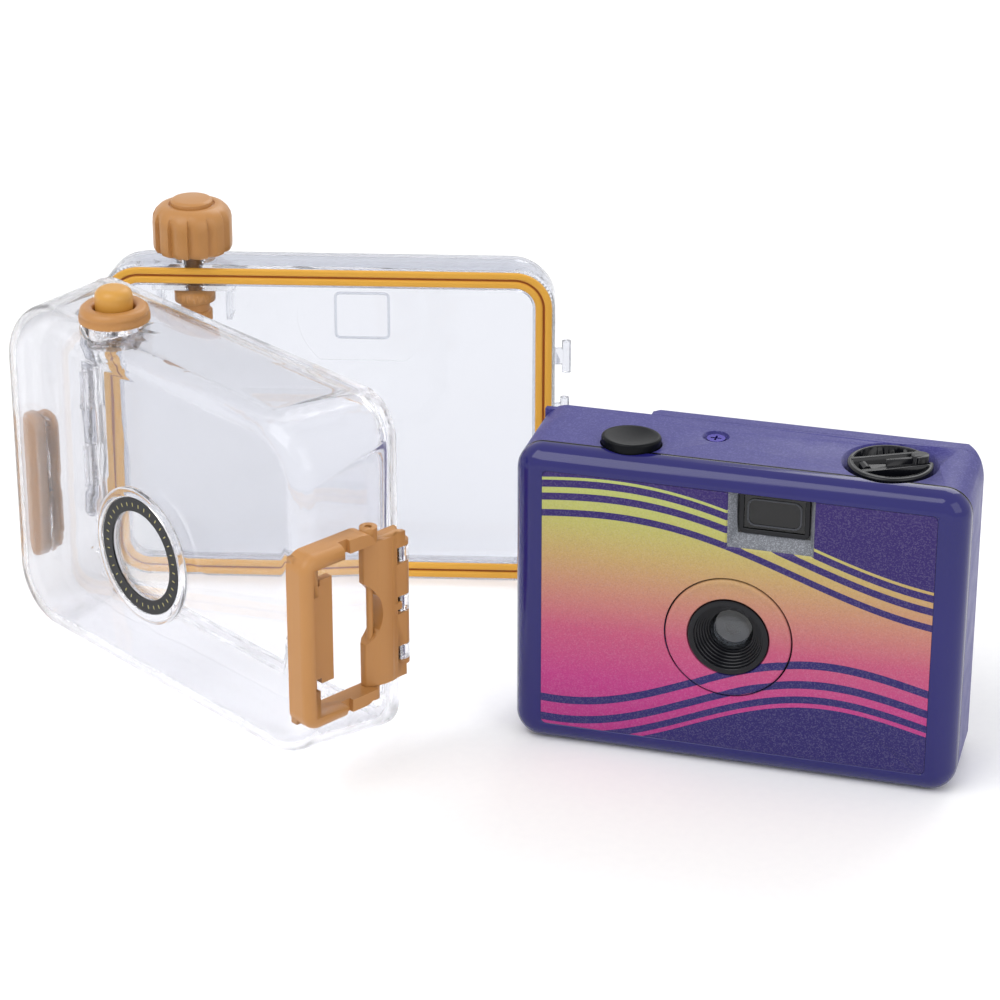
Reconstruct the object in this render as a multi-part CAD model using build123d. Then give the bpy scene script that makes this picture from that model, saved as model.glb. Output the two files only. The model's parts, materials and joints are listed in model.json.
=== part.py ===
"""A 35 mm film camera standing beside its open waterproof case.

Millimetres, +Z up. The origin is the middle of the camera's flat base and the camera looks along -Y.
The case is modelled closed round its own hinge axis, with X along its width and Y from front to back,
and each half is then turned about that axis and set down to the left of the camera.
"""
from build123d import *
import os
from math import cos, sin, radians, degrees, pi, sqrt, atan2

os.makedirs("parts", exist_ok=True)

# Camera: outer form
camera_width = 116.0
camera_height = 83.5
camera_front = -15.0
cover_depth = 6.0
body_depth = 24.0
door_depth = 5.5
corner_radius = 7.0
cover_roll = 5.4
camera_wall = 1.8
seam_gap = 0.3
fit_gap = 0.1
free_gap = 0.3
step_from_takeup = 9.5
step_length = 7.0
thin_back_drop = 4.0
rear_corner_left = 5.0
rear_corner_right = 11.0
rear_edge_radius = 2.5

# Camera: front panel, lens and viewfinder
panel_side_margin = 7.75
panel_bottom = 5.8
panel_top_margin = 5.7
panel_thickness = 0.4
panel_corner = 1.5
lens_x = -1.2
lens_below_chassis_top = 22.5
bezel_radius = 16.6
bezel_thickness = 2.6
bezel_proud = 0.5
barrel_radius = 10.5
glass_radius = 5.6
front_glass_thickness = 2.0
rear_glass_radius = 4.2
barrel_depth = 7.0
finder_x = 9.2
finder_window_width = 18.4
finder_window_height = 12.0
finder_window_drop = 17.5
finder_recess_depth = 3.0
finder_slope_side = 2.6
finder_slope_bottom = 3.6
finder_glass_thickness = 1.2
eyepiece_width = 9.0
eyepiece_height = 7.0

# Camera: film transport
film_gate_width = 36.0
film_gate_height = 24.0
film_plane = 13.0
chassis_side_room = 4.5
chassis_top_room = 23.5
chamber_floor = 12.0
chamber_roof = 3.0
cassette_from_side = 22.5
cassette_y = 1.5
cassette_radius = 13.2
takeup_from_side = 17.5
takeup_y = 3.0
takeup_radius = 11.4
spool_radius = 8.0
thumbwheel_radius = 14.6
thumbwheel_thickness = 5.0
thumbwheel_drop = 10.5
thumbwheel_teeth = 36
sprocket_from_takeup = 16.1
sprocket_y = 9.8
sprocket_radius = 3.3
sprocket_teeth = 8
perforation_height = 15.6
counter_from_sprocket = 11.4
counter_y = 5.0
counter_radius = 8.2
counter_thickness = 1.2

# Camera: controls
button_from_side = 28.3
button_y = -4.4
button_length = 15.4
button_width = 13.4
button_height = 2.3
button_travel = 1.8
knob_recess_radius = 12.3
knob_radius = 10.8
knob_recess_depth = 4.6
crank_width = 5.2
screw_x = -9.9
screw_y = 5.6
screw_radius = 2.4
screw_recess_radius = 3.5
release_from_takeup = 10.5
release_y = 2.0
release_radius = 2.6
hinge_pin_radius = 0.9
door_barrel_radius = 2.6
door_barrel_turn = 35.0
door_split_drop = 17.5
door_knuckle_low = 20.0
door_knuckle_high = 40.0
catch_height = 4.0

# Case: outer form
case_width = 128.5
case_height = 96.5
case_corner = 11.5
case_front_depth = 32.5
case_back_depth = 14.5
case_face_corner = 19.0
case_edge_round = 7.5
case_wall = 2.2
case_back_round = 4.0
case_back_corner = 13.5
rim_gap = 1.4
hinge_offset = 3.0
rim_width = 4.9
rim_thickness = 2.0
gasket_inset = 1.3
gasket_width = 3.4
gasket_seat = 1.2
gasket_proud = 1.0
opening_angle = 44.2
case_turn = 13.4
case_hinge_x = -199.2
case_hinge_y = 45.6

# Case: lens window and shutter plunger
window_x = -1.5
window_z = 40.3
window_radius = 16.3
window_clear_radius = 12.5
window_thickness = 1.4
window_ring_thickness = 0.6
window_rim_radius = 19.2
window_rim_proud = 1.2
plunger_x = -25.0
plunger_y = 11.5
plunger_radius = 5.1
plunger_rise = 9.0
plunger_travel = 2.2
plunger_pocket = 4.0
plunger_stem = 7.1
plunger_boss = 5.5
stem_radius = 2.2
bezel_ring_radius = 9.6
bezel_ring_height = 4.0

# Case: hinge, latch, strap clip and winding knob
case_knuckle_radius = 2.6
case_pin_radius = 1.1
knuckle_gap = 0.4
latch_z = 41.8
lever_height = 41.0
lever_thickness = 4.6
lever_length = 12.0
latch_standoff = 0.75
loop_height = 48.5
loop_arm = 3.6
loop_reach = 25.2
loop_depth = 7.2
loop_flange = 3.0
loop_web = 13.0
loop_web_thickness = 2.2
loop_tab_height = 29.0
latch_pin_radius = 0.9
scallop_radius = 10.6
keeper_spacing = 25.0
keeper_radius = 1.3
keeper_length = 6.0
strap_post_z = 69.7
strap_post_height = 9.4
clip_z = 35.3
clip_height = 44.0
clip_front = 9.5
knob_x = 29.2
knob_y = 6.9
case_knob_radius = 11.2
case_knob_height = 15.0
case_knob_lobes = 12
shaft_radius = 2.6
drive_wheel_radius = 3.2

finder_pad_width = 15.6
finder_pad_height = 14.0
finder_pad_drop = 19.0

# Places worked out from the sizes above
seam_y = camera_front + cover_depth
rear_y = seam_y + body_depth
door_back = rear_y + door_depth
chassis_half_width = camera_width / 2 - chassis_side_room
chassis_top = camera_height - chassis_top_room
lens_z = chassis_top - lens_below_chassis_top
panel_width = camera_width - 2 * panel_side_margin
panel_height = camera_height - panel_bottom - panel_top_margin
finder_window_bottom = camera_height - finder_window_drop
cassette_x = camera_width / 2 - cassette_from_side
takeup_x = takeup_from_side - camera_width / 2
step_left = takeup_x + step_from_takeup
step_right = step_left + step_length
thumbwheel_bottom = camera_height - thumbwheel_drop
sprocket_x = takeup_x + sprocket_from_takeup
counter_x = sprocket_x + counter_from_sprocket
button_x = button_from_side - camera_width / 2
release_x = takeup_x + release_from_takeup
door_split = camera_height - door_split_drop
catch_z = lens_z - 0.9
case_mid_x = hinge_offset + case_width / 2
front_rim = -rim_gap / 2
front_face = front_rim - case_front_depth
back_rim = rim_gap / 2
back_face = back_rim + case_back_depth
right_wall = hinge_offset + case_width
left_wall = hinge_offset


def block(x0, x1, y0, y1, z0, z1):
    """A box from its low and high limits."""
    middle = Pos((x0 + x1) / 2, (y0 + y1) / 2, (z0 + z1) / 2)
    return middle * Box(x1 - x0, y1 - y0, z1 - z0)


def rod(x, y, z0, z1, radius):
    """An upright cylinder."""
    return Pos(x, y, (z0 + z1) / 2) * Cylinder(radius, z1 - z0)


def disc(x, z, y0, y1, radius):
    """A cylinder along Y."""
    return Pos(x, (y0 + y1) / 2, z) * Rot(90, 0, 0) * Cylinder(radius, y1 - y0)


def slab(x, z0, width, height, radius, y0, y1):
    """A rounded rectangle seen from the front, drawn from y0 back to y1, with its foot at z0."""
    outline = Plane.XZ * RectangleRounded(width, height, radius)
    return Pos(x, y1, z0 + height / 2) * extrude(outline, y1 - y0)


def turned(points):
    """A solid of revolution about Z from radius and height points."""
    outline = Polyline([(radius, 0, height) for radius, height in points], close=True)
    return revolve(make_face(outline), Axis.Z)


def coil(radius, wire, bottom, height, turns):
    """A round-wire compression spring standing on bottom, held inside height."""
    path = Helix((height - 2 * wire) / turns, height - 2 * wire, radius - wire)
    start = path @ 0
    section = Plane(origin=start, z_dir=path % 0) * RegularPolygon(wire, 6)
    return Pos(0, 0, bottom + wire) * sweep(section, path)


def edges_at(shape, axis, place):
    """The edges whose middle lies at one place along an axis."""
    return shape.edges().filter_by_position(axis, place - 0.01, place + 0.01)


def save(name, shape):
    """Writes one piece."""
    export_step(shape, f"parts/{name}.step")


# Film camera

def rear_outline(inset):
    """The plan of the camera behind the seam: thin at the left, bulging from the step to the right."""
    half = camera_width / 2 - inset
    thin = door_back - thin_back_drop - inset
    back = door_back - inset
    left_round = rear_corner_left - inset
    right_round = rear_corner_right - inset
    start = (-half, seam_y)
    left_side = Line(start, (-half, thin - left_round))
    left_turn = TangentArc(left_side @ 1, (-half + left_round, thin), tangent=(0, 1))
    left_back = Line(left_turn @ 1, (step_left + inset / 2, thin))
    step = Spline(left_back @ 1, (step_right + inset / 2, back), tangents=[(1, 0), (1, 0)])
    right_back = Line(step @ 1, (half - right_round, back))
    right_turn = TangentArc(right_back @ 1, (half, back - right_round), tangent=(1, 0))
    right_side = Line(right_turn @ 1, (half, seam_y))
    front = Line(right_side @ 1, start)
    return make_face([left_side, left_turn, left_back, step, right_back, right_turn, right_side, front])


def rear_form(inset):
    """The camera's body behind the seam, drawn in by inset all round."""
    plan = extrude(rear_outline(inset), camera_height)
    height = camera_height - 2 * inset
    front_view = slab(0, inset, camera_width - 2 * inset, height, corner_radius - inset, seam_y, door_back)
    length = 2 * (door_back - seam_y)
    round_edge = max(rear_edge_radius - inset, 0.4)
    side = Plane.YZ * RectangleRounded(length - 2 * inset, height, round_edge)
    side_view = Pos(-camera_width / 2, seam_y, camera_height / 2) * extrude(side, camera_width)
    return plan & front_view & side_view


def button_plan(grow):
    """The shutter button's oval, grown by a clearance."""
    return Pos(button_x, button_y) * Ellipse(button_length / 2 + grow, button_width / 2 + grow)


def top_cuts():
    """What is cut from the top deck: the button's hole, the rewind recess and the screw's recess."""
    hole = Pos(0, 0, camera_height - 2 * camera_wall) * extrude(button_plan(free_gap), 3 * camera_wall)
    recess = rod(cassette_x, cassette_y, camera_height - knob_recess_depth, camera_height + 1,
                 knob_recess_radius)
    screw_seat = rod(screw_x, screw_y, camera_height - 1.2, camera_height + 1, screw_recess_radius)
    return hole + recess + screw_seat


def finder_funnel():
    """The sloping recess in front of the viewfinder window."""
    left = finder_x - finder_window_width / 2
    right = finder_x + finder_window_width / 2
    bottom = finder_window_bottom
    top = finder_window_bottom + finder_window_height
    wide = right - left + finder_slope_side + 1.6
    tall = top - bottom + finder_slope_bottom
    outer = Plane(origin=((left - finder_slope_side + right + 1.6) / 2, camera_front,
                          (bottom - finder_slope_bottom + top) / 2), x_dir=(1, 0, 0), z_dir=(0, -1, 0))
    inner = Plane(origin=((left + right) / 2, camera_front + finder_recess_depth, (bottom + top) / 2),
                  x_dir=(1, 0, 0), z_dir=(0, -1, 0))
    return loft([outer * Rectangle(wide, tall), inner * Rectangle(right - left, top - bottom)])


def cover_form(inset, back):
    """The camera's rolled front, drawn in by inset all round and reaching back to a given depth."""
    front = camera_front + inset
    form = slab(0, inset, camera_width - 2 * inset, camera_height - 2 * inset, corner_radius - inset,
                front, back)
    return fillet(edges_at(form, Axis.Y, front), cover_roll - inset)


def make_front_cover():
    """The glossy front moulding: a rolled-edge tray with the lens hole and the viewfinder funnel."""
    back = seam_y - seam_gap / 2
    cover = cover_form(0, back) - cover_form(camera_wall, back)
    top = finder_window_bottom + finder_window_height
    frame = block(finder_x - finder_window_width / 2 - finder_slope_side - 1.5,
                  finder_x + finder_window_width / 2 + 3.0,
                  camera_front + camera_wall / 2, camera_front + finder_recess_depth + finder_glass_thickness,
                  finder_window_bottom - finder_slope_bottom - 1.5, top + 1.2)
    cover = cover + frame
    glass = block(finder_x - finder_window_width / 2 - 0.9, finder_x + finder_window_width / 2 + 0.9,
                  camera_front + finder_recess_depth, camera_front + cover_depth,
                  finder_window_bottom - 0.9, top + 0.9)
    cover = cover - finder_funnel() - glass
    panel_bed = slab(0, panel_bottom - fit_gap, panel_width + 2 * fit_gap, panel_height + 2 * fit_gap,
                     panel_corner + fit_gap, camera_front - 1, camera_front + panel_thickness)
    lens_hole = disc(lens_x, lens_z, camera_front - 1, camera_front + 2 * camera_wall,
                     bezel_radius + fit_gap)
    return cover - panel_bed - lens_hole - top_cuts()


def make_front_panel():
    """The thin printed plate let into the front cover."""
    plate = slab(0, panel_bottom, panel_width, panel_height, panel_corner, camera_front,
                 camera_front + panel_thickness)
    hole = disc(lens_x, lens_z, camera_front - 1, camera_front + 1, bezel_radius + fit_gap)
    return plate - hole - finder_funnel()


def thumbwheel_recess():
    """The slot that lets the thumbwheel stand out at the back."""
    low = thumbwheel_bottom - 2 * free_gap
    high = thumbwheel_bottom + thumbwheel_thickness + 2 * free_gap
    return rod(takeup_x, takeup_y, low, high, thumbwheel_radius + 2 * free_gap)


def door_axis():
    """The rear door's hinge line: its barrel lies flush with the rounded right-hand rear corner."""
    reach = rear_corner_right - door_barrel_radius
    centre_x = camera_width / 2 - rear_corner_right
    centre_y = door_back - rear_corner_right
    turn = radians(door_barrel_turn)
    return centre_x + reach * cos(turn), centre_y + reach * sin(turn)


def door_relief():
    """The room that the door's barrel and corner need when the door swings."""
    x, y = door_axis()
    round_room = rod(x, y, -1, door_split, door_barrel_radius + 0.5)
    return round_room + block(x, camera_width, y - 1.6, rear_y + 1, -1, door_split)


def door_knuckle_spans():
    """The heights of the housing's two knuckles, which sit in gaps of the door's barrel."""
    low, high = door_knuckle_low, door_knuckle_high
    third = (high - low) / 3
    return [(low, low + third), (high - third, high)]


def make_rear_housing():
    """The speckled body ring behind the seam, with the top deck, the base and the thumbwheel's wall."""
    ahead = block(-camera_width, camera_width, seam_y + seam_gap / 2, rear_y, -1, camera_height + 1)
    straight = slab(0, camera_wall, camera_width - 2 * camera_wall, camera_height - 2 * camera_wall,
                    corner_radius - camera_wall, seam_y - 1, rear_y + 1)
    straight = straight & block(-camera_width, camera_width / 2 - rear_corner_right, seam_y - 1, rear_y + 1,
                                0, camera_height)
    ring = (rear_form(0) & ahead) - rear_form(camera_wall) - straight
    lip = block(-camera_width / 2 + camera_wall, camera_width / 2 - 2 * camera_wall, rear_y - 2.4, rear_y,
                door_split - 2.6, door_split)
    wheel_wall = block(-camera_width / 2 + camera_wall / 2, step_right - 1, rear_y - camera_wall, rear_y,
                       door_split - 1, camera_height - camera_wall / 2)
    recess_floor = rod(cassette_x, cassette_y, camera_height - knob_recess_depth - camera_wall,
                       camera_height - camera_wall / 2, knob_recess_radius + 1.2)
    recess_floor = recess_floor & block(-camera_width, camera_width, seam_y + seam_gap / 2, rear_y,
                                        0, camera_height)
    screw_boss = rod(screw_x, screw_y, camera_height - 6, camera_height - camera_wall / 2,
                     screw_recess_radius + 1)
    housing = ring + lip + wheel_wall + recess_floor + screw_boss
    housing = housing - top_cuts() - thumbwheel_recess()
    housing -= rod(cassette_x, cassette_y, camera_height - 12, camera_height, 3.2)
    housing -= rod(screw_x, screw_y, camera_height - 7, camera_height, 1.0 + fit_gap)
    axis_x, axis_y = door_axis()
    housing -= door_relief()
    for low, high in door_knuckle_spans():
        web = block(axis_x - 1.5, axis_x + 3.0, axis_y - 4.0, axis_y - 1.6, low, high) & rear_form(0.2)
        housing += rod(axis_x, axis_y, low, high, door_barrel_radius - 0.1) + web
    housing -= rod(axis_x, axis_y, 2, door_split - 1, hinge_pin_radius + 0.05)
    housing -= rod(release_x, release_y, -1, camera_wall + 1, release_radius + free_gap)
    window = block(counter_x - counter_radius - 0.5, counter_x - 1.5, counter_y - 3, counter_y + 3, -1,
                   camera_wall + 1)
    housing -= window
    for x, y in base_screw_places():
        housing -= rod(x, y, -1, 1.2, screw_radius + 0.3)
        housing -= rod(x, y, 0, camera_wall + 1, 1.0 + fit_gap)
    housing -= latch_slot()
    return housing


def base_screw_places():
    """Where the two base screws go."""
    return [(takeup_x + 13.0, -5.0), (cassette_x - 21.5, -5.0)]


def latch_slot():
    """The slot in the left wall where the door's catch slides."""
    left = -camera_width / 2
    return block(left - 1, left + camera_wall + 1, 3.5, 12.0, catch_z - 6.6, catch_z + 9.0)


def make_rear_top_cover():
    """The bulging cover above the door, which carries the eyepiece."""
    region = block(step_left + 2, camera_width / 2 + 1, rear_y + fit_gap, door_back + 1,
                   door_split + free_gap, camera_height + 1)
    cover = (rear_form(0) & region) - rear_form(camera_wall)
    middle = finder_window_bottom + finder_window_height / 2
    eyecup = slab(finder_x, middle - eyepiece_height / 2 - 1.6, eyepiece_width + 3.2, eyepiece_height + 3.2,
                  1.6, rear_y + fit_gap, door_back - 0.2)
    opening = slab(finder_x, middle - eyepiece_height / 2, eyepiece_width, eyepiece_height, 0.8,
                   rear_y - 1, door_back + 1)
    seat = slab(finder_x, middle - eyepiece_height / 2 - 0.7, eyepiece_width + 1.4, eyepiece_height + 1.4,
                1.0, door_back - 2.6, door_back - 1.2)
    dish = slab(finder_x, middle - eyepiece_height / 2 - 1.0, eyepiece_width + 2.0, eyepiece_height + 2.0,
                1.2, door_back - 0.6, door_back + 1)
    return cover + eyecup - opening - seat - dish


def make_eyepiece_lens():
    """The small rear lens of the viewfinder."""
    middle = finder_window_bottom + finder_window_height / 2
    return slab(finder_x, middle - eyepiece_height / 2 - 0.6, eyepiece_width + 1.2, eyepiece_height + 1.2,
                0.9, door_back - 2.55, door_back - 1.25)


def make_viewfinder_window():
    """The dark front glass of the viewfinder."""
    top = finder_window_bottom + finder_window_height
    return block(finder_x - finder_window_width / 2 - 0.8, finder_x + finder_window_width / 2 + 0.8,
                 camera_front + finder_recess_depth,
                 camera_front + finder_recess_depth + finder_glass_thickness,
                 finder_window_bottom - 0.8, top + 0.8)


def make_viewfinder_tunnel():
    """The black tapering box between the front glass and the eyepiece."""
    middle = finder_window_bottom + finder_window_height / 2
    front = camera_front + finder_recess_depth + finder_glass_thickness
    back = rear_y
    ahead = Plane(origin=(finder_x, front, middle), x_dir=(1, 0, 0), z_dir=(0, 1, 0))
    behind = Plane(origin=(finder_x, back, middle), x_dir=(1, 0, 0), z_dir=(0, 1, 0))
    outer = loft([ahead * Rectangle(finder_window_width + 1.6, finder_window_height + 1.6),
                  behind * Rectangle(eyepiece_width + 2.6, eyepiece_height + 2.6)])
    inner = loft([ahead * Rectangle(finder_window_width - 0.8, finder_window_height - 0.8),
                  behind * Rectangle(eyepiece_width, eyepiece_height)])
    return outer - inner


def make_lens_bezel():
    """The flush ring round the lens with a turned groove near its rim."""
    top = bezel_proud
    bottom = bezel_proud - bezel_thickness
    inner = barrel_radius + fit_gap
    outline = [(inner, bottom), (bezel_radius, bottom), (bezel_radius, top - 0.5),
               (bezel_radius - 0.5, top), (bezel_radius - 2.2, top), (bezel_radius - 2.5, top - 0.5),
               (bezel_radius - 3.0, top - 0.5), (bezel_radius - 3.3, top), (inner + 0.6, top),
               (inner, top - 0.6)]
    return lens_place() * turned(outline)


def lens_place():
    """Turns a piece drawn about Z with its face up into the lens's place, with its face forward."""
    return Pos(lens_x, camera_front, lens_z) * Rot(90, 0, 0)


def make_lens_barrel():
    """The black stepped barrel: a rounded lip, then rings stepping down to the glass."""
    outer = barrel_radius
    steps = 4
    rise = 0.9
    inward = (outer - 1.6 - glass_radius - 0.3) / steps
    outline = [(outer, -barrel_depth), (outer, -0.3), (outer - 0.6, 0.3), (outer - 1.6, 0.3)]
    for step in range(steps):
        radius = outer - 1.6 - step * inward
        outline += [(radius, 0.3 - (step + 1) * rise), (radius - inward, 0.3 - (step + 1) * rise)]
    seat = 0.3 - steps * rise - 0.4
    outline += [(glass_radius + 0.3, seat), (glass_radius - 1.0, seat - front_glass_thickness),
                (glass_radius - 1.0, -barrel_depth)]
    barrel = turned(outline)
    glass_room = Pos(0, 0, seat - front_glass_thickness / 2) * Cylinder(
        glass_radius + fit_gap, front_glass_thickness)
    return lens_place() * (barrel - glass_room)


def make_front_lens():
    """The front glass: flat behind and domed in front."""
    seat = 0.3 - 4 * 0.9 - 0.4
    rim = Pos(0, 0, seat - front_glass_thickness * 0.75) * Cylinder(
        glass_radius, front_glass_thickness / 2)
    dome_height = 1.3
    ball_radius = (glass_radius ** 2 + dome_height ** 2) / (2 * dome_height)
    base = seat - front_glass_thickness / 2
    ball = Pos(0, 0, base + dome_height - ball_radius) * Sphere(ball_radius)
    cap = ball & (Pos(0, 0, base + dome_height / 2) * Cylinder(glass_radius, dome_height))
    return lens_place() * (rim + cap)


def make_shutter_plate():
    """The thin plate behind the barrel with the small round aperture."""
    plate = disc(lens_x, lens_z, camera_front + barrel_depth, camera_front + barrel_depth + 0.6, 12.0)
    return plate - disc(lens_x, lens_z, camera_front, camera_front + 10, 1.9)


def blade_pivot():
    """Where the shutter blade turns."""
    return lens_x - 8.0, lens_z + 4.0


def make_shutter_blade():
    """The shutter's single leaf, with its eye and the ear that the button's stem trips."""
    px, pz = blade_pivot()
    y0 = camera_front + barrel_depth + 0.6 + free_gap
    leaf = disc(lens_x, lens_z, y0, y0 + 0.5, 3.2)
    reach_x, reach_z = lens_x - px, lens_z - pz
    angle = degrees(atan2(reach_z, reach_x))
    arm = Pos((px + lens_x) / 2, y0 + 0.25, (pz + lens_z) / 2) * Rot(0, -angle, 0) * Box(
        sqrt(reach_x ** 2 + reach_z ** 2), 0.5, 3.2)
    eye = disc(px, pz, y0, y0 + 0.5, 2.2)
    blade = leaf + arm + eye
    return blade - disc(px, pz, y0 - 1, y0 + 1, 0.8 + 0.05)


def make_blade_pin():
    """The small post that the shutter blade turns on."""
    px, pz = blade_pivot()
    y0 = camera_front + barrel_depth + 0.6
    return disc(px, pz, y0, y0 + 2.4, 0.8)


def make_rear_lens():
    """The rear element, held in the chassis behind the shutter."""
    place = Pos(lens_x, camera_front + 11.0, lens_z) * Rot(90, 0, 0)
    return place * turned([(0, -1.0), (rear_glass_radius, -0.6), (rear_glass_radius, 0.6), (0, 1.0)])


def make_chassis():
    """The black light box with the cassette chamber, the take-up chamber and the film gate."""
    front = camera_front + camera_wall + free_gap
    body = block(-chassis_half_width, chassis_half_width, front, film_plane, camera_wall, chassis_top)
    body = body & cover_form(camera_wall + 0.05, film_plane)
    right = cassette_x + cassette_radius
    chamber = rod(cassette_x, cassette_y, chamber_floor, chassis_top - chamber_roof, cassette_radius)
    chamber += block(cassette_x - cassette_radius, right, cassette_y, film_plane + 1, chamber_floor,
                     chassis_top - chamber_roof)
    takeup = rod(takeup_x, takeup_y, 4.5, chassis_top - chamber_roof, takeup_radius)
    takeup += block(takeup_x - takeup_radius, takeup_x + takeup_radius, takeup_y, film_plane + 1, 4.5,
                    chassis_top - chamber_roof)
    gate_front = Plane(origin=(lens_x, camera_front + 12.5, lens_z), x_dir=(1, 0, 0), z_dir=(0, 1, 0))
    gate_back = Plane(origin=(lens_x, film_plane + 0.1, lens_z), x_dir=(1, 0, 0), z_dir=(0, 1, 0))
    light_box = loft([gate_front * Rectangle(12, 10),
                      gate_back * Rectangle(film_gate_width, film_gate_height)])
    rails = block(takeup_x + takeup_radius + 0.8, cassette_x - cassette_radius - 0.8, film_plane - 0.4,
                  film_plane + 1, lens_z - 17.6, lens_z + 17.6)
    shutter_room = disc(lens_x, lens_z, camera_front, camera_front + 10.4, 14.2)
    rear_seat = disc(lens_x, lens_z, camera_front + 10.0, camera_front + 12.6, rear_glass_radius + fit_gap)
    body = body - chamber - takeup - light_box - rails - shutter_room - rear_seat
    body -= rod(sprocket_x, sprocket_y, 0, chassis_top - 3, sprocket_radius + 0.6)
    body -= block(sprocket_x - 3.4, sprocket_x + 3.4, sprocket_y, film_plane + 1, camera_wall - 1,
                  chassis_top - 3)
    body -= rod(sprocket_x, sprocket_y, chassis_top - 4, chassis_top + 1, 1.0 + 0.08)
    body -= rod(sprocket_x, sprocket_y, camera_wall - 1, camera_wall + 2.6, pinion_radius() + 0.4)
    body -= rod(cassette_x, cassette_y, chassis_top - 4, chassis_top + 1, 4.4)
    body -= rod(takeup_x, takeup_y, chassis_top - 4, chassis_top + 1, 4.0)
    body -= rod(takeup_x, takeup_y, camera_wall - 1, 6, 2.0 + 0.1)
    body -= rod(counter_x, counter_y, camera_wall - 1, camera_wall + 2 * counter_thickness,
                counter_radius + 0.5)
    body -= rod(counter_x, counter_y, camera_wall - 1, 6.5, 1.0 + 0.08)
    body -= rod(release_x, release_y, camera_wall - 1, 5.2, release_radius + free_gap)
    body -= rod(button_stem_x(), button_stem_y(), lens_z + 8, chassis_top + 1, 1.5 + free_gap)
    for x, y in base_screw_places():
        body -= rod(x, y, 0, 9, 1.0 + fit_gap)
    axis_x, axis_y = door_axis()
    body -= block(axis_x - 2.0, camera_width, axis_y - 4.4, film_plane + 1, door_knuckle_low - 1,
                  door_knuckle_high + 1)
    return body - door_relief()


def button_stem_x():
    """The button's stem stands clear of the thumbwheel."""
    return button_x + button_length / 2 - 2.6


def button_stem_y():
    """The stem stands near the front, over the shutter."""
    return button_y - 3.2


def make_shutter_button():
    """The oval shutter button with its dished top, its skirt and its stem."""
    skirt_bottom = camera_height - 2.2
    cap = Pos(0, 0, skirt_bottom) * extrude(button_plan(0), camera_height + button_height - skirt_bottom)
    cap = fillet(edges_at(cap, Axis.Z, camera_height + button_height), 0.8)
    dish_radius = 26.0
    dish = Pos(button_x, button_y, camera_height + button_height + dish_radius - 0.9) * Sphere(dish_radius)
    stem = rod(button_stem_x(), button_stem_y(), chassis_top - 6, skirt_bottom + 0.5, 1.5)
    return cap - dish + stem


def make_button_spring():
    """The spring under the button's stem collar, standing on the chassis."""
    x, y = button_stem_x(), button_stem_y()
    bottom = chassis_top + 0.05
    height = camera_height - 2.2 - bottom - 0.1
    return Pos(x, y, 0) * coil(2.5, 0.3, bottom, height, 7)


def make_thumbwheel():
    """The ribbed film-advance wheel with its hub."""
    low = thumbwheel_bottom
    high = low + thumbwheel_thickness
    wheel = rod(takeup_x, takeup_y, low, high, thumbwheel_radius - 0.5)
    tooth = Pos(thumbwheel_radius - 0.6, 0, (low + high) / 2) * Box(1.2, 1.3, thumbwheel_thickness)
    for index in range(thumbwheel_teeth):
        wheel += Pos(takeup_x, takeup_y, 0) * Rot(0, 0, index * 360 / thumbwheel_teeth) * tooth
    hub = rod(takeup_x, takeup_y, chassis_top + 0.3, low, 3.6)
    return wheel + hub - rod(takeup_x, takeup_y, chassis_top - 1, high - 1.5, 1.5)


def make_takeup_spool():
    """The take-up spool: a slotted core between two thin flanges, with its shaft."""
    low = 5.0
    high = chassis_top - chamber_roof - 0.5
    core = rod(takeup_x, takeup_y, low, high, spool_radius)
    slot = block(takeup_x - 0.8, takeup_x + 0.8, takeup_y, takeup_y + 2 * spool_radius,
                 lens_z - 12, lens_z + 12)
    flange_low = rod(takeup_x, takeup_y, low, low + 1.2, spool_radius + 2.4)
    flange_high = rod(takeup_x, takeup_y, high - 1.2, high, spool_radius + 2.4)
    shaft = rod(takeup_x, takeup_y, high, thumbwheel_bottom + thumbwheel_thickness - 1.55, 1.45)
    neck = rod(takeup_x, takeup_y, high, chassis_top + 0.3, 3.6)
    foot = rod(takeup_x, takeup_y, camera_wall + 0.1, low, 2.0)
    return core - slot + flange_low + flange_high + neck + shaft + foot


def make_sprocket():
    """The film sprocket: a slim shaft with one ring of teeth and the counter's pinion."""
    shaft_low = camera_wall + 0.1
    shaft = rod(sprocket_x, sprocket_y, shaft_low, chassis_top - 0.5, 1.0)
    drum_z = lens_z + perforation_height
    drum = rod(sprocket_x, sprocket_y, drum_z - 2.2, drum_z + 2.2, sprocket_radius - 0.4)
    tooth = Pos(sprocket_radius - 0.2, 0, drum_z) * Box(1.0, 1.0, 1.6)
    for index in range(sprocket_teeth):
        drum += Pos(sprocket_x, sprocket_y, 0) * Rot(0, 0, index * 360 / sprocket_teeth) * tooth
    lower_drum = rod(sprocket_x, sprocket_y, lens_z - perforation_height - 2.2,
                     lens_z - perforation_height + 2.2, sprocket_radius - 0.4)
    pinion = rod(sprocket_x, sprocket_y, shaft_low, shaft_low + 2.0, pinion_radius())
    return shaft + drum + lower_drum + pinion


def pinion_radius():
    """The pinion fills the gap between the sprocket's shaft and the counter dial."""
    return sqrt((sprocket_x - counter_x) ** 2 + (sprocket_y - counter_y) ** 2) - counter_radius - free_gap


def make_counter_dial():
    """The frame counter's dial, read through the window in the base."""
    low = camera_wall + 0.3
    dial = rod(counter_x, counter_y, low, low + counter_thickness, counter_radius)
    return dial + rod(counter_x, counter_y, low, 6.2, 1.0)


def make_counter_window():
    """The small clear window in the base over the counter dial."""
    return block(counter_x - counter_radius - 0.4, counter_x - 1.6, counter_y - 2.9, counter_y + 2.9,
                 0.3, 1.5)


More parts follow.
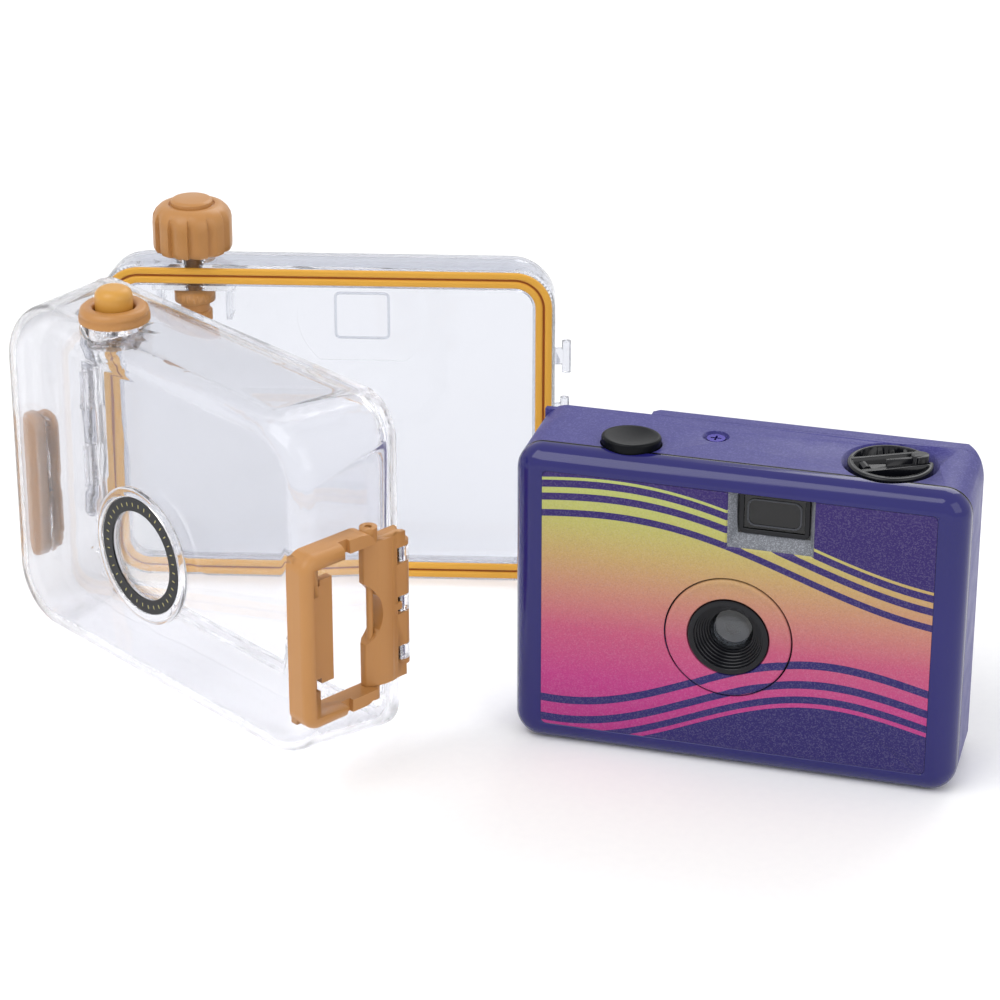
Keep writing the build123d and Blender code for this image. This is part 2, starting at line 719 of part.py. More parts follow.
def make_rewind_knob():
    """The round rewind knob in its recess, with the bed that the crank folds into."""
    low = camera_height - knob_recess_depth + free_gap
    high = camera_height + 0.4
    knob = rod(cassette_x, cassette_y, low, high, knob_radius)
    knob = fillet(edges_at(knob, Axis.Z, high), 0.7)
    bed = rod(cassette_x, cassette_y, high - 2.6, high + 1, knob_radius - 1.5)
    grip = Pos(cassette_x, cassette_y, 0) * Rot(0, 0, crank_turn()) * block(
        -knob_radius + 1.0, knob_radius - 1.0, crank_width / 2 + 0.5, crank_width / 2 + 1.9, high - 2.6, high)
    grip_other = Pos(cassette_x, cassette_y, 0) * Rot(0, 0, 180 + crank_turn()) * block(
        -knob_radius + 2.2, knob_radius - 2.2, crank_width / 2 + 0.5, crank_width / 2 + 1.9, high - 2.6, high)
    knob = knob - bed + ((grip + grip_other) & rod(cassette_x, cassette_y, low, high, knob_radius - 0.8))
    notch = Pos(cassette_x, cassette_y, 0) * Rot(0, 0, crank_turn()) * block(
        knob_radius - 3.6, knob_radius + 1, -crank_width / 2, crank_width / 2, high - 2.6, high + 1)
    knob -= notch
    return knob - rod(cassette_x, cassette_y, low - 1, low + 1.0, 2.0)


def crank_turn():
    """How far the folded crank is turned in the knob, in degrees."""
    return 28.0


def crank_axis():
    """Where the crank's fold pin lies: its middle, and its height."""
    reach = knob_radius - 4.2
    turn = radians(crank_turn())
    return cassette_x - reach * cos(turn), cassette_y - reach * sin(turn), camera_height - 0.75


def make_rewind_crank():
    """The folding crank: an eye on the pin, a thin arm across the knob and a finger tab at its end."""
    high = camera_height + 0.3
    low = high - 2.0
    reach = knob_radius - 4.2
    arm = block(-reach, reach + 1.6, -1.3, 1.3, low, high - 0.8)
    eye = Pos(-reach, 0, camera_height - 0.75) * Rot(90, 0, 0) * Cylinder(1.15, 3.2)
    tab = Pos(reach + 1.2, 0, 0) * rod(0, 0, low, high + 1.2, 2.2)
    fin = block(-1.0, reach - 0.5, -0.6, 0.6, high - 0.9, high + 0.6)
    crank = arm + eye + tab + fin
    crank -= Pos(-reach, 0, camera_height - 0.75) * Rot(90, 0, 0) * Cylinder(0.55, 10)
    return Pos(cassette_x, cassette_y, 0) * Rot(0, 0, crank_turn()) * crank


def make_crank_pin():
    """The small pin that the crank folds on, held by the knob's two grips."""
    x, y, z = crank_axis()
    return Pos(x, y, z) * Rot(0, 0, crank_turn()) * Rot(90, 0, 0) * Cylinder(0.5, crank_width + 1.0)


def make_rewind_fork():
    """The fork that turns the film cassette's spool, with its shaft up to the knob."""
    top = camera_height - knob_recess_depth + free_gap + 1.0
    shaft = rod(cassette_x, cassette_y, chassis_top - 1, top, 1.95)
    collar = rod(cassette_x, cassette_y, chassis_top - 4.5, chassis_top - 1, 3.9)
    prongs = block(cassette_x - 3.2, cassette_x + 3.2, cassette_y - 0.9, cassette_y + 0.9,
                   chassis_top - 10, chassis_top - 4.5)
    prongs -= block(cassette_x - 1.2, cassette_x + 1.2, cassette_y - 2, cassette_y + 2,
                    chassis_top - 11, chassis_top - 6)
    return shaft + collar + prongs


def make_rear_door():
    """The hinged back door: a thin wall that bulges over the film, with its hinge barrel and hook."""
    axis_x, axis_y = door_axis()
    reach = axis_x + door_barrel_radius * cos(radians(door_barrel_turn))
    region = block(-camera_width / 2 - 1, reach, rear_y + fit_gap, door_back + 1, -1, door_split)
    door = (rear_form(0) & region) - rear_form(camera_wall)
    thin_inner = door_back - thin_back_drop - camera_wall
    edge = -chassis_half_width
    light_trap = block(edge - 1.5, edge - 0.5, rear_y - 1.8, thin_inner + 0.6, 6, door_split - 8)
    low, high = catch_z - catch_height / 2, catch_z + catch_height / 2
    hook = block(edge - 1.8, edge - 0.5, rear_y - 8.0, thin_inner + 0.6, low, high)
    tooth = block(edge - 2.2, edge - 1.7, rear_y - 8.0, rear_y - 6.4, low, high)
    barrel = rod(axis_x, axis_y, 2.6, door_split - 0.4, door_barrel_radius) & rear_form(0)
    door = door + light_trap + hook + tooth + barrel
    for low, high in door_knuckle_spans():
        door -= rod(axis_x, axis_y, low - 0.2, high + 0.2, door_barrel_radius + free_gap)
    return door - rod(axis_x, axis_y, 2, door_split - 1, hinge_pin_radius + 0.06)


def make_pressure_plate():
    """The flat plate that the door presses on the film rails."""
    y0 = film_plane + free_gap
    plate = slab(lens_x, lens_z - 16, film_gate_width + 2, 32, 1.5, y0, y0 + 1.0)
    return plate


def make_pressure_spring():
    """The bowed leaf spring between the pressure plate and the door."""
    front = film_plane + free_gap + 1.0 + 0.02
    back = door_back - camera_wall - 0.02
    half = film_gate_width / 2 + 1
    middle = (lens_x, back - 0.3)
    arc = ThreePointArc((lens_x - half, front + 0.3), middle, (lens_x + half, front + 0.3))
    rise = back - 0.3 - (front + 0.3)
    radius = (half ** 2 + rise ** 2) / (2 * rise)
    centre_y = back - 0.3 - radius
    outer = Pos(lens_x, centre_y, lens_z) * Cylinder(radius + 0.25, 9)
    inner = Pos(lens_x, centre_y, lens_z) * Cylinder(radius - 0.25, 10)
    keep = block(lens_x - arc.length / 2, lens_x + arc.length / 2, front, back, lens_z - 5, lens_z + 5)
    return (outer - inner) & keep


def make_door_hinge_pin():
    """The steel pin through the door's knuckles."""
    axis_x, axis_y = door_axis()
    return rod(axis_x, axis_y, 4, door_split - 3, hinge_pin_radius)


def make_door_latch():
    """The catch that slides up in the left wall to let the door go."""
    left = -camera_width / 2
    plate = block(left + 0.1, left + camera_wall - 0.2, 3.9, 11.6, catch_z - 6.2, catch_z + 5.6)
    grip = plate
    for index in range(4):
        low = catch_z - 4.4 + 2.4 * index
        grip += block(left - 0.7, left + 0.2, 4.8, 10.7, low, low + 1.0)
    return grip


def make_rewind_release():
    """The round button in the base that frees the sprocket for rewinding."""
    return rod(release_x, release_y, 0.5, 3.6, release_radius) - (
        Pos(release_x, release_y, -3.4) * Sphere(4.3))


def make_top_screw():
    """The cross-head screw in the top deck."""
    head = rod(screw_x, screw_y, camera_height - 1.2, camera_height - 0.4, screw_radius)
    body = rod(screw_x, screw_y, camera_height - 7, camera_height - 1.2, 1.0)
    slots = block(screw_x - 1.4, screw_x + 1.4, screw_y - 0.25, screw_y + 0.25, camera_height - 0.9,
                  camera_height)
    slots += block(screw_x - 0.25, screw_x + 0.25, screw_y - 1.4, screw_y + 1.4, camera_height - 0.9,
                   camera_height)
    return head + body - slots


def make_base_screws():
    """The two screws that hold the chassis to the base."""
    screws = []
    for x, y in base_screw_places():
        screw = rod(x, y, 0.2, 1.2, screw_radius) + rod(x, y, 1.2, 8.5, 1.0)
        screw -= block(x - 1.4, x + 1.4, y - 0.25, y + 0.25, 0, 0.7)
        screws.append(screw)
    return Compound(children=screws)


# Waterproof case, closed round its hinge axis

def tray(rim, face, inset, edge_round, face_corner):
    """A tray drawn in by inset: its corners grow rounder towards the closed face, whose edge is rolled."""
    width = case_width - 2 * inset
    height = case_height - 2 * inset
    closed = face - inset if face > rim else face + inset
    sections = []
    for place, corner in ((rim, case_corner), (closed, face_corner)):
        plane = Plane(origin=(case_mid_x, place, case_height / 2), x_dir=(1, 0, 0), z_dir=(0, -1, 0))
        sections.append(plane * RectangleRounded(width, height, corner - inset))
    return fillet(edges_at(loft(sections), Axis.Y, closed), edge_round - inset)


def rim_ring(y0, y1, inset, width):
    """A band that follows the case's outline."""
    outer = slab(case_mid_x, inset, case_width - 2 * inset, case_height - 2 * inset, case_corner - inset,
                 y0, y1)
    far = inset + width
    inner = slab(case_mid_x, far, case_width - 2 * far, case_height - 2 * far, case_corner - far,
                 y0 - 1, y1 + 1)
    return outer - inner


def knuckle_heights():
    """Heights of the hinge knuckles in turn: the back half's, then the front's, and so on."""
    marks = [20.0, 30.0, 43.0, 54.0, 66.0, 76.0]
    return [(marks[i] + knuckle_gap / 2, marks[i + 1] - knuckle_gap / 2) for i in range(5)]


def knuckles(first, side):
    """Every other knuckle with its web to the wall: side is -1 for the front half and 1 for the back."""
    made = None
    for low, high in knuckle_heights()[first::2]:
        barrel = rod(0, 0, low, high, case_knuckle_radius)
        near = side * (rim_gap / 2 + 0.2)
        far = side * (rim_gap / 2 + 4.0)
        web = block(-0.6, left_wall + 0.8, min(near, far), max(near, far), low, high)
        web &= block(-0.6, left_wall + 0.8, -4.7, 4.7, low, high)
        slope = Pos(0, side * 4.9, 0) * Rot(0, 0, side * 40) * block(-9, 0.6, -4, 4, low - 1, high + 1)
        piece = barrel + (web - slope)
        made = piece if made is None else made + piece
    return made - rod(0, 0, 10, 90, case_pin_radius + 0.06)


def front_place():
    """Turns the front half open about the hinge and sets it down."""
    return Pos(case_hinge_x, case_hinge_y, 0) * Rot(0, 0, case_turn - opening_angle)


def back_place():
    """Sets the back half down."""
    return Pos(case_hinge_x, case_hinge_y, 0) * Rot(0, 0, case_turn)


def window_place():
    """Turns a piece drawn about Z, face up, to look out of the front wall."""
    return Pos(case_mid_x + window_x, front_face, window_z) * Rot(90, 0, 0)


def lever_axis():
    """The latch lever's hinge line."""
    return right_wall + latch_standoff + lever_thickness / 2, front_rim - 2.0


def loop_axis():
    """The loop's pivot line on the lever."""
    x, y = lever_axis()
    return x, y - lever_length


def lever_lug_spans():
    """Heights of the three lugs on the front shell that hold the lever."""
    bottom = latch_z - lever_height / 2
    return [(bottom + 4.5, bottom + 8.5), (latch_z - 2.2, latch_z + 2.2),
            (bottom + lever_height - 8.5, bottom + lever_height - 4.5)]


def plunger_place():
    """The shutter plunger's axis."""
    return case_mid_x + plunger_x, front_face + plunger_y


def fin_limits():
    """The strap fin's near and far faces in Y."""
    middle = front_face + clip_front + 6.3
    return middle - 1.1, middle + 1.1


def make_case_front_shell():
    """The clear front half: a deep tray with a sealing ledge, a window seat, bosses and lugs."""
    shell = tray(front_rim, front_face, 0, case_edge_round, case_face_corner)
    shell -= tray(front_rim, front_face, case_wall, case_edge_round, case_face_corner)
    shell += rim_ring(front_rim - rim_thickness, front_rim, 0, rim_width)
    raised = window_place() * turned([
        (window_radius + fit_gap, -case_wall / 2), (window_rim_radius, -case_wall / 2),
        (window_rim_radius, window_rim_proud - 0.5), (window_rim_radius - 0.8, window_rim_proud),
        (window_radius + 0.6, window_rim_proud), (window_radius + fit_gap, window_rim_proud - 0.5)])
    shell += raised
    seat_depth = window_thickness + window_ring_thickness - 0.6
    shell -= window_place() * Pos(0, 0, 1 - seat_depth / 2 - 0.5) * Cylinder(
        window_radius + fit_gap, seat_depth + 1)
    shell -= window_place() * Cylinder(window_clear_radius + 0.5, 4 * case_wall)
    px, py = plunger_place()
    shell += rod(px, py, case_height - case_wall, case_height + 1.6, bezel_ring_radius - 0.8)
    shell += rod(px, py, case_height - plunger_boss, case_height, plunger_radius + 2.0)
    shell -= rod(px, py, case_height - plunger_pocket, case_height + 2, plunger_radius + free_gap)
    shell -= rod(px, py, case_height - 12, case_height, stem_radius + free_gap)
    shell = shell + knuckles(1, -1) + lever_lugs() + strap_fin()
    return shell - rod(*lever_axis(), latch_z - lever_height / 2, latch_z + lever_height / 2,
                       latch_pin_radius + 0.03)


def lever_lugs():
    """The three clear lugs on the right wall that carry the lever's pin."""
    x, y = lever_axis()
    radius = lever_thickness / 2
    lugs = None
    for low, high in lever_lug_spans():
        foot = block(right_wall - 0.8, x, y - radius, y + radius - 0.4, low, high)
        lug = rod(x, y, low, high, radius) + foot
        lugs = lug if lugs is None else lugs + lug
    return lugs


def strap_fin():
    """The clear slotted fin on the left wall that carries the strap."""
    near, far = fin_limits()
    low, high = clip_z - clip_height / 2 + 2, clip_z + clip_height / 2 - 2
    fin = block(left_wall - 6.4, left_wall + 1.0, near, far, low, high)
    slot_height = (high - low - 8) / 2
    for start in (low + 2, high - 2 - slot_height):
        fin -= block(left_wall - 5.2, left_wall - 0.6, near - 1, far + 1, start, start + slot_height)
    return fin


def make_strap_clip():
    """The tan clip: a leaf on each side of the strap fin and the cap that joins them round its edge."""
    near, far = fin_limits()
    front_leaf = capsule(left_wall - 4.3, 8.6, clip_height, near - 3.6, near - 0.1)
    back_leaf = capsule(left_wall - 4.3, 8.6, clip_height - 2, far + 0.1, far + 2.6)
    bridge = block(left_wall - 8.4, left_wall - 6.5, near - 1, far + 1, clip_z - 2.0, clip_z + 2.0)
    middle = block(left_wall - 8.6, left_wall - 6.5, near - 0.4, far + 0.4, clip_z - clip_height / 2 + 7,
                   clip_z + clip_height / 2 - 7)
    return front_leaf + back_leaf + bridge + middle


def capsule(x, width, height, y0, y1):
    """An upright leaf with round ends and softened edges."""
    leaf = slab(x, clip_z - height / 2, width, height, width / 2 - 0.05, y0, y1)
    outer = min(y0, y1) if y1 < (fin_limits()[0]) else max(y0, y1)
    return fillet(edges_at(leaf, Axis.Y, outer), 0.8)


def make_lens_window():
    """The flat clear window in front of the camera's lens."""
    return window_place() * Pos(0, 0, -window_ring_thickness / 2 - 0.2) * Cylinder(
        window_radius, window_thickness - 0.4)


def make_window_ring():
    """The thin black ring set over the window."""
    ring = Cylinder(window_radius, window_ring_thickness) - Cylinder(window_clear_radius, 4)
    return window_place() * Pos(0, 0, window_thickness / 2 + 0.1 - window_ring_thickness / 2 + 0.0) * ring


def make_shutter_bezel():
    """The tan ring that guides the plunger: a flange with a rounded bead on top."""
    px, py = plunger_place()
    low = case_height + 1.6
    inner = plunger_radius + free_gap
    outer = bezel_ring_radius
    outline = [(inner, low), (outer, low), (outer, low + 1.2), (outer - 0.5, low + 1.5),
               (outer - 0.2, low + 2.2), (outer - 0.5, low + bezel_ring_height - 0.8),
               (outer - 1.4, low + bezel_ring_height), (inner + 1.0, low + bezel_ring_height),
               (inner, low + bezel_ring_height - 1.0)]
    return Pos(px, py, 0) * turned(outline)


def make_shutter_plunger():
    """The domed plunger with the stem that reaches down to the camera's button."""
    px, py = plunger_place()
    base = case_height - plunger_pocket + plunger_travel + 1.2
    top = case_height + 1.6 + plunger_rise
    body = rod(px, py, base, top, plunger_radius)
    body = fillet(edges_at(body, Axis.Z, top), 2.6)
    stem = rod(px, py, case_height - plunger_stem, base, stem_radius)
    return body + stem - seal_groove()


def seal_height():
    """The seal's height on the stem, inside the boss's bore over the whole travel."""
    return case_height - plunger_pocket - 0.2


def seal_groove():
    """The groove that the round seal sits in on the plunger's stem."""
    px, py = plunger_place()
    low, high = seal_height() - 0.5, seal_height() + 0.5
    return rod(px, py, low, high, stem_radius + 1) - rod(px, py, low, high, stem_radius - 0.6)


def make_plunger_seal():
    """The round rubber seal on the plunger's stem."""
    px, py = plunger_place()
    return Pos(px, py, seal_height()) * Torus(stem_radius - 0.15, 0.42)


def make_plunger_spring():
    """The spring that lifts the plunger again."""
    px, py = plunger_place()
    bottom = case_height - plunger_pocket + 0.02
    height = plunger_travel + 1.2 - 0.04
    return Pos(px, py, 0) * coil(4.3, 0.3, bottom, height, 3)


def make_latch_lever():
    """The tan lever: a D-shaped bar with a round finger scallop, knuckles at the back and a raised arrow."""
    ax, ay = lever_axis()
    radius = lever_thickness / 2
    low, high = latch_z - lever_height / 2, latch_z + lever_height / 2
    front = ay - lever_length - 0.6
    inner = right_wall + latch_standoff
    plan = Polyline([(inner, ay), (inner, front + 1.2), (inner + 1.0, front),
                     (inner + lever_thickness - 2.0, front)])
    crown = ThreePointArc(plan @ 1, (inner + lever_thickness - 0.2, front + 3.0),
                          (inner + lever_thickness, ay - 3.0))
    back = Polyline([crown @ 1, (inner + lever_thickness, ay), (inner, ay)])
    bar = extrude(make_face([plan, crown, back]), lever_height)
    bar = Pos(0, 0, low) * bar + rod(ax, ay, low + 3.0, high - 3.0, radius)
    bar -= Pos(ax, front - scallop_radius + 4.6, latch_z) * Rot(0, 90, 0) * Cylinder(
        scallop_radius, 4 * lever_thickness)
    for z0, z1 in lever_lug_spans():
        bar -= block(inner - 1, inner + lever_thickness + 1, ay - radius - 0.5, ay + radius + 0.5,
                     z0 - free_gap, z1 + free_gap)
    bar -= rod(ax, ay, low - 1, high + 1, latch_pin_radius + 0.06)
    px, py = loop_axis()
    bar -= rod(px, py + 1.6, low - 1, high + 1, latch_pin_radius)
    arrow = Polyline([(0, 0), (3.2, 2.6), (3.2, 1.0), (6.0, 1.0), (6.0, -1.0), (3.2, -1.0), (3.2, -2.6)],
                     close=True)
    sign = extrude(Plane(origin=(inner + lever_thickness - 0.3, ay - 7.6, latch_z), x_dir=(0, 1, 0),
                         z_dir=(1, 0, 0)) * make_face(arrow), 0.6)
    return bar + sign


def make_lever_pin():
    """The pin through the shell's lugs and the lever's knuckles."""
    x, y = lever_axis()
    return rod(x, y, latch_z - lever_height / 2 + 3.0, latch_z + lever_height / 2 - 3.0, latch_pin_radius)


def loop_pivot():
    """The loop's pivot inside the lever's front edge."""
    x, y = loop_axis()
    return x, y + 1.6


def make_latch_loop():
    """The tan loop: a deep rounded frame with a notched web at its far end and two arms with round eyes."""
    px, py = loop_pivot()
    low, high = latch_z - loop_height / 2, latch_z + loop_height / 2
    inner = right_wall + latch_standoff
    outer = inner + loop_depth
    far = py - loop_reach
    neck = far + loop_web + 1.0
    frame = slab_side(inner, outer, far, py, low, high, 4.6)
    edges = frame.edges().filter_by_position(Axis.X, outer - 0.01, outer + 0.01)
    frame = fillet(edges.filter_by_position(Axis.Y, far - 1, far + 6), 2.4)
    frame -= block(inner - 1, outer + 1, far + loop_flange, py + 1, low + loop_arm, high - loop_arm)
    frame -= block(inner + 4.2, outer + 1, neck - 0.6, neck + 2.4, low - 1, high + 1)
    frame -= block(inner + 5.6, outer + 1, neck + 2.3, py + 1, low - 1, high + 1)
    frame -= block(inner - 1, outer + 1, py - 0.01, py + 1, low - 1, high + 1)
    web = block(inner, inner + loop_web_thickness, far + 0.5, far + loop_web, low + 1, high - 1)
    for side in (-1, 1):
        start = latch_z + side * loop_tab_height / 2
        end = latch_z + side * (loop_height / 2 - loop_arm)
        web -= block(inner - 1, outer, far + 7.4, far + loop_web + 1, min(start, end), max(start, end))
        cross = start - side * 1.6
        web -= block(inner - 1, outer, far + 7.4, far + 9.0, min(cross, end), max(cross, end))
        lip_end = end - side * 7.5
        frame += block(outer - 1.6, outer - 0.2, far + loop_flange - 0.2, far + loop_flange + 1.6,
                       min(end, lip_end), max(end, lip_end))
    for z0, z1 in ((low, low + loop_arm), (high - loop_arm, high)):
        frame += rod(px, py, z0, z1, lever_thickness / 2)
    return frame + web - rod(px, py, low - 1, high + 1, latch_pin_radius + 0.06)


def slab_side(x0, x1, y0, y1, z0, z1, radius):
    """A bar with rounded ends seen from the side."""
    outline = Plane.YZ * RectangleRounded(y1 - y0, z1 - z0, radius)
    return Pos(x0, (y0 + y1) / 2, (z0 + z1) / 2) * extrude(outline, x1 - x0)


def make_loop_pin():
    """The long pin through the lever that carries the loop."""
    px, py = loop_pivot()
    return rod(px, py, latch_z - loop_height / 2 + 0.4, latch_z + loop_height / 2 - 0.4,
               latch_pin_radius - 0.02)


def make_case_back_shell():
    """The clear back half: a shallow tray with the gasket's groove, keepers, window pad and shaft boss."""
    shell = tray(back_rim, back_face, 0, case_back_round, case_back_corner)
    shell -= tray(back_rim, back_face, case_wall, case_back_round, case_back_corner)
    shell += rim_ring(back_rim, back_rim + rim_thickness + 0.6, 0, rim_width + 1.4)
    shell -= rim_ring(back_rim - 1, back_rim + gasket_seat, gasket_inset - fit_gap,
                      gasket_width + 2 * fit_gap)
    pad_x = case_mid_x + finder_x - 0.3
    pad_z = case_height - finder_pad_drop
    pad_low, pad_high = pad_z - finder_pad_height, pad_z + finder_pad_height * 0.9
    shell += slab(pad_x, pad_z - finder_pad_height / 2, finder_pad_width, finder_pad_height, 1.2,
                  back_face - case_wall - 0.8, back_face - case_wall + 0.2)
    shell += disc(pad_x, pad_z, back_face - case_wall - 0.4, back_face - case_wall + 0.2,
                  1.2 * finder_pad_width) & block(0, 2 * case_mid_x, back_rim, back_face, pad_low, pad_high)
    shell += rod(knob_x, knob_y, case_height - 0.9, case_height + 2.0, 6.4)
    bracket = block(knob_x - 11.7, knob_x + 11.7, back_rim + 3, back_face - case_wall / 2,
                    case_height - 9.0, case_height - 7.0)
    ribs = block(knob_x + 9.0, knob_x + 10.6, back_rim + 4, back_face - case_wall / 2,
                 case_height - 18.0, case_height - 7.5)
    ribs += block(knob_x - 10.6, knob_x - 9.0, back_rim + 4, back_face - case_wall / 2,
                  case_height - 14.0, case_height - 7.5)
    shell = shell + bracket + ribs + knuckles(0, 1) + keepers() + strap_post()
    return shell - rod(knob_x, knob_y, case_height - 12, case_height + 4, shaft_radius + 0.1)


def keepers():
    """The two keeper pins on the right wall that the latch's loop hooks over."""
    made = None
    x = right_wall + latch_standoff + lever_thickness / 2 - 0.2
    y = back_rim + 1.9
    for z in (latch_z - keeper_spacing / 2, latch_z + keeper_spacing / 2):
        pin = rod(x, y, z - keeper_length / 2, z + keeper_length / 2, keeper_radius)
        web = block(right_wall - 1.0, x, y - 0.7, y + 0.7, z - 1.1, z + 1.1)
        made = pin + web if made is None else made + pin + web
    return made


def strap_post():
    """The small upright post on a web near the top of the back half's right wall."""
    x = right_wall + 3.2
    y = back_rim + 2.4
    low = strap_post_z - strap_post_height / 2
    high = low + strap_post_height
    post = rod(x, y, low, high, 1.3)
    web = block(right_wall - 1.0, x, y - 0.8, y + 0.8, low + 2.4, high - 2.4)
    return post + web


def make_case_gasket():
    """The moulded seal: a flat band with two rounded beads that stand out of its groove."""
    base = rim_ring(back_rim - 0.1, back_rim + gasket_seat, gasket_inset, gasket_width)
    bead = gasket_width / 2 - 0.35
    front = back_rim - gasket_proud
    outer = rim_ring(front, back_rim, gasket_inset, bead)
    inner = rim_ring(front, back_rim, gasket_inset + gasket_width - bead, bead)
    beads = []
    for ring in (outer, inner):
        beads.append(fillet(edges_at(ring, Axis.Y, front), 0.55))
    return base + beads[0] + beads[1]


def make_hinge_pin():
    """The long pin that joins the two halves."""
    spans = knuckle_heights()
    return rod(0, 0, spans[0][0] + 0.3, spans[-1][1] - 0.3, case_pin_radius)


def make_winding_knob():
    """The fluted winding knob with its raised centre disc."""
    low = case_height + 2.6
    high = low + case_knob_height - 1.4
    knob = Pos(knob_x, knob_y, 0) * turned([
        (0, low + 0.01), (case_knob_radius - 1.6, low + 0.01), (case_knob_radius - 0.6, low + 1.0),
        (case_knob_radius, low + 4.0), (case_knob_radius, high - 2.6), (case_knob_radius - 0.8, high - 0.8),
        (case_knob_radius - 2.6, high), (0, high)])
    flute_radius = 1.9
    flute = rod(case_knob_radius + 1.0, 0, low - 1, high - 0.4, flute_radius)
    for index in range(case_knob_lobes):
        turn = (index + 0.5) * 360 / case_knob_lobes
        knob -= Pos(knob_x, knob_y, 0) * Rot(0, 0, turn) * flute
    cap = Pos(knob_x, knob_y, 0) * turned([(0, high - 0.5), (6.2, high - 0.5), (6.2, high + 0.6),
                                           (5.4, high + 1.4), (0, high + 1.4)])
    knob += cap
    return knob - rod(knob_x, knob_y, low - 1, low + 8, shaft_radius)


def make_winding_shaft():
    """The shaft from the knob down through the case wall, with its collar under the bracket."""
    shaft = rod(knob_x, knob_y, case_height - 19.5, case_height + 10.6, shaft_radius)
    collar = rod(knob_x, knob_y, case_height - 12.6, case_height - 9.3, 5.8)
    return shaft + collar


def make_winding_wheel():
    """The knurled rubber wheel that rubs on the camera's thumbwheel."""
    low, high = case_height - 19.0, case_height - 12.8
    wheel = rod(knob_x, knob_y, low, high, drive_wheel_radius + 1.6)
    groove = rod(drive_wheel_radius + 1.75, 0, low - 1, high + 1, 0.45)
    for index in range(18):
        wheel -= Pos(knob_x, knob_y, 0) * Rot(0, 0, index * 20) * groove
    return wheel - rod(knob_x, knob_y, low - 1, high + 1, shaft_radius)


def make_shaft_seal():
    """The rubber washer between the knob and the case's boss."""
    ring = rod(knob_x, knob_y, case_height + 2.05, case_height + 2.55, 5.6)
    return ring - rod(knob_x, knob_y, case_height, case_height + 4, shaft_radius + 0.15)


camera_pieces = {
    "front_cover": make_front_cover, "rear_housing": make_rear_housing,
    "rear_top_cover": make_rear_top_cover, "front_panel": make_front_panel,
    "lens_bezel": make_lens_bezel, "lens_barrel": make_lens_barrel, "front_lens": make_front_lens,
    "rear_lens": make_rear_lens, "shutter_plate": make_shutter_plate,
    "shutter_blade": make_shutter_blade, "blade_pin": make_blade_pin,
    "viewfinder_window": make_viewfinder_window, "viewfinder_tunnel": make_viewfinder_tunnel,
    "eyepiece_lens": make_eyepiece_lens, "chassis": make_chassis,
    "shutter_button": make_shutter_button, "button_spring": make_button_spring,
    "thumbwheel": make_thumbwheel, "takeup_spool": make_takeup_spool, "sprocket": make_sprocket,
    "counter_dial": make_counter_dial, "counter_window": make_counter_window,
    "rewind_knob": make_rewind_knob, "rewind_crank": make_rewind_crank, "crank_pin": make_crank_pin,
    "rewind_fork": make_rewind_fork, "rear_door": make_rear_door,
    "pressure_plate": make_pressure_plate, "pressure_spring": make_pressure_spring,
    "door_hinge_pin": make_door_hinge_pin, "door_latch": make_door_latch,
    "rewind_release": make_rewind_release, "top_screw": make_top_screw, "base_screws": make_base_screws,
}
front_pieces = {
    "case_front_shell": make_case_front_shell, "lens_window": make_lens_window,
    "window_ring": make_window_ring, "shutter_bezel": make_shutter_bezel,
    "shutter_plunger": make_shutter_plunger, "plunger_seal": make_plunger_seal,
    "plunger_spring": make_plunger_spring, "strap_clip": make_strap_clip,
    "latch_lever": make_latch_lever, "lever_pin": make_lever_pin, "latch_loop": make_latch_loop,
    "loop_pin": make_loop_pin,
}
back_pieces = {
    "case_back_shell": make_case_back_shell, "case_gasket": make_case_gasket,
    "hinge_pin": make_hinge_pin, "winding_knob": make_winding_knob,
    "winding_shaft": make_winding_shaft, "winding_wheel": make_winding_wheel,
    "shaft_seal": make_shaft_seal,
}

for name, make in camera_pieces.items():
    save(name, make())
for name, make in front_pieces.items():
    save(name, front_place() * make())
for name, make in back_pieces.items():
    save(name, back_place() * make())
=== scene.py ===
"""The looks of a 35 mm film camera that stands beside its open waterproof case.

Lengths are in millimetres unless a comment says metres, and every mesh is made in metres in the model's own
frame: +Z is up, the camera looks along -Y, and the origin is the middle of the camera's base.
"""
import json
import logging
import math
from dataclasses import dataclass, fields
from enum import Enum
from functools import cache, partial
from typing import Callable, ClassVar, Optional, Sequence, Union

import bmesh
import bpy
from bpy.types import Material, Mesh, Node, NodeSocket, NodeTree, Object
from mathutils import Matrix, Vector

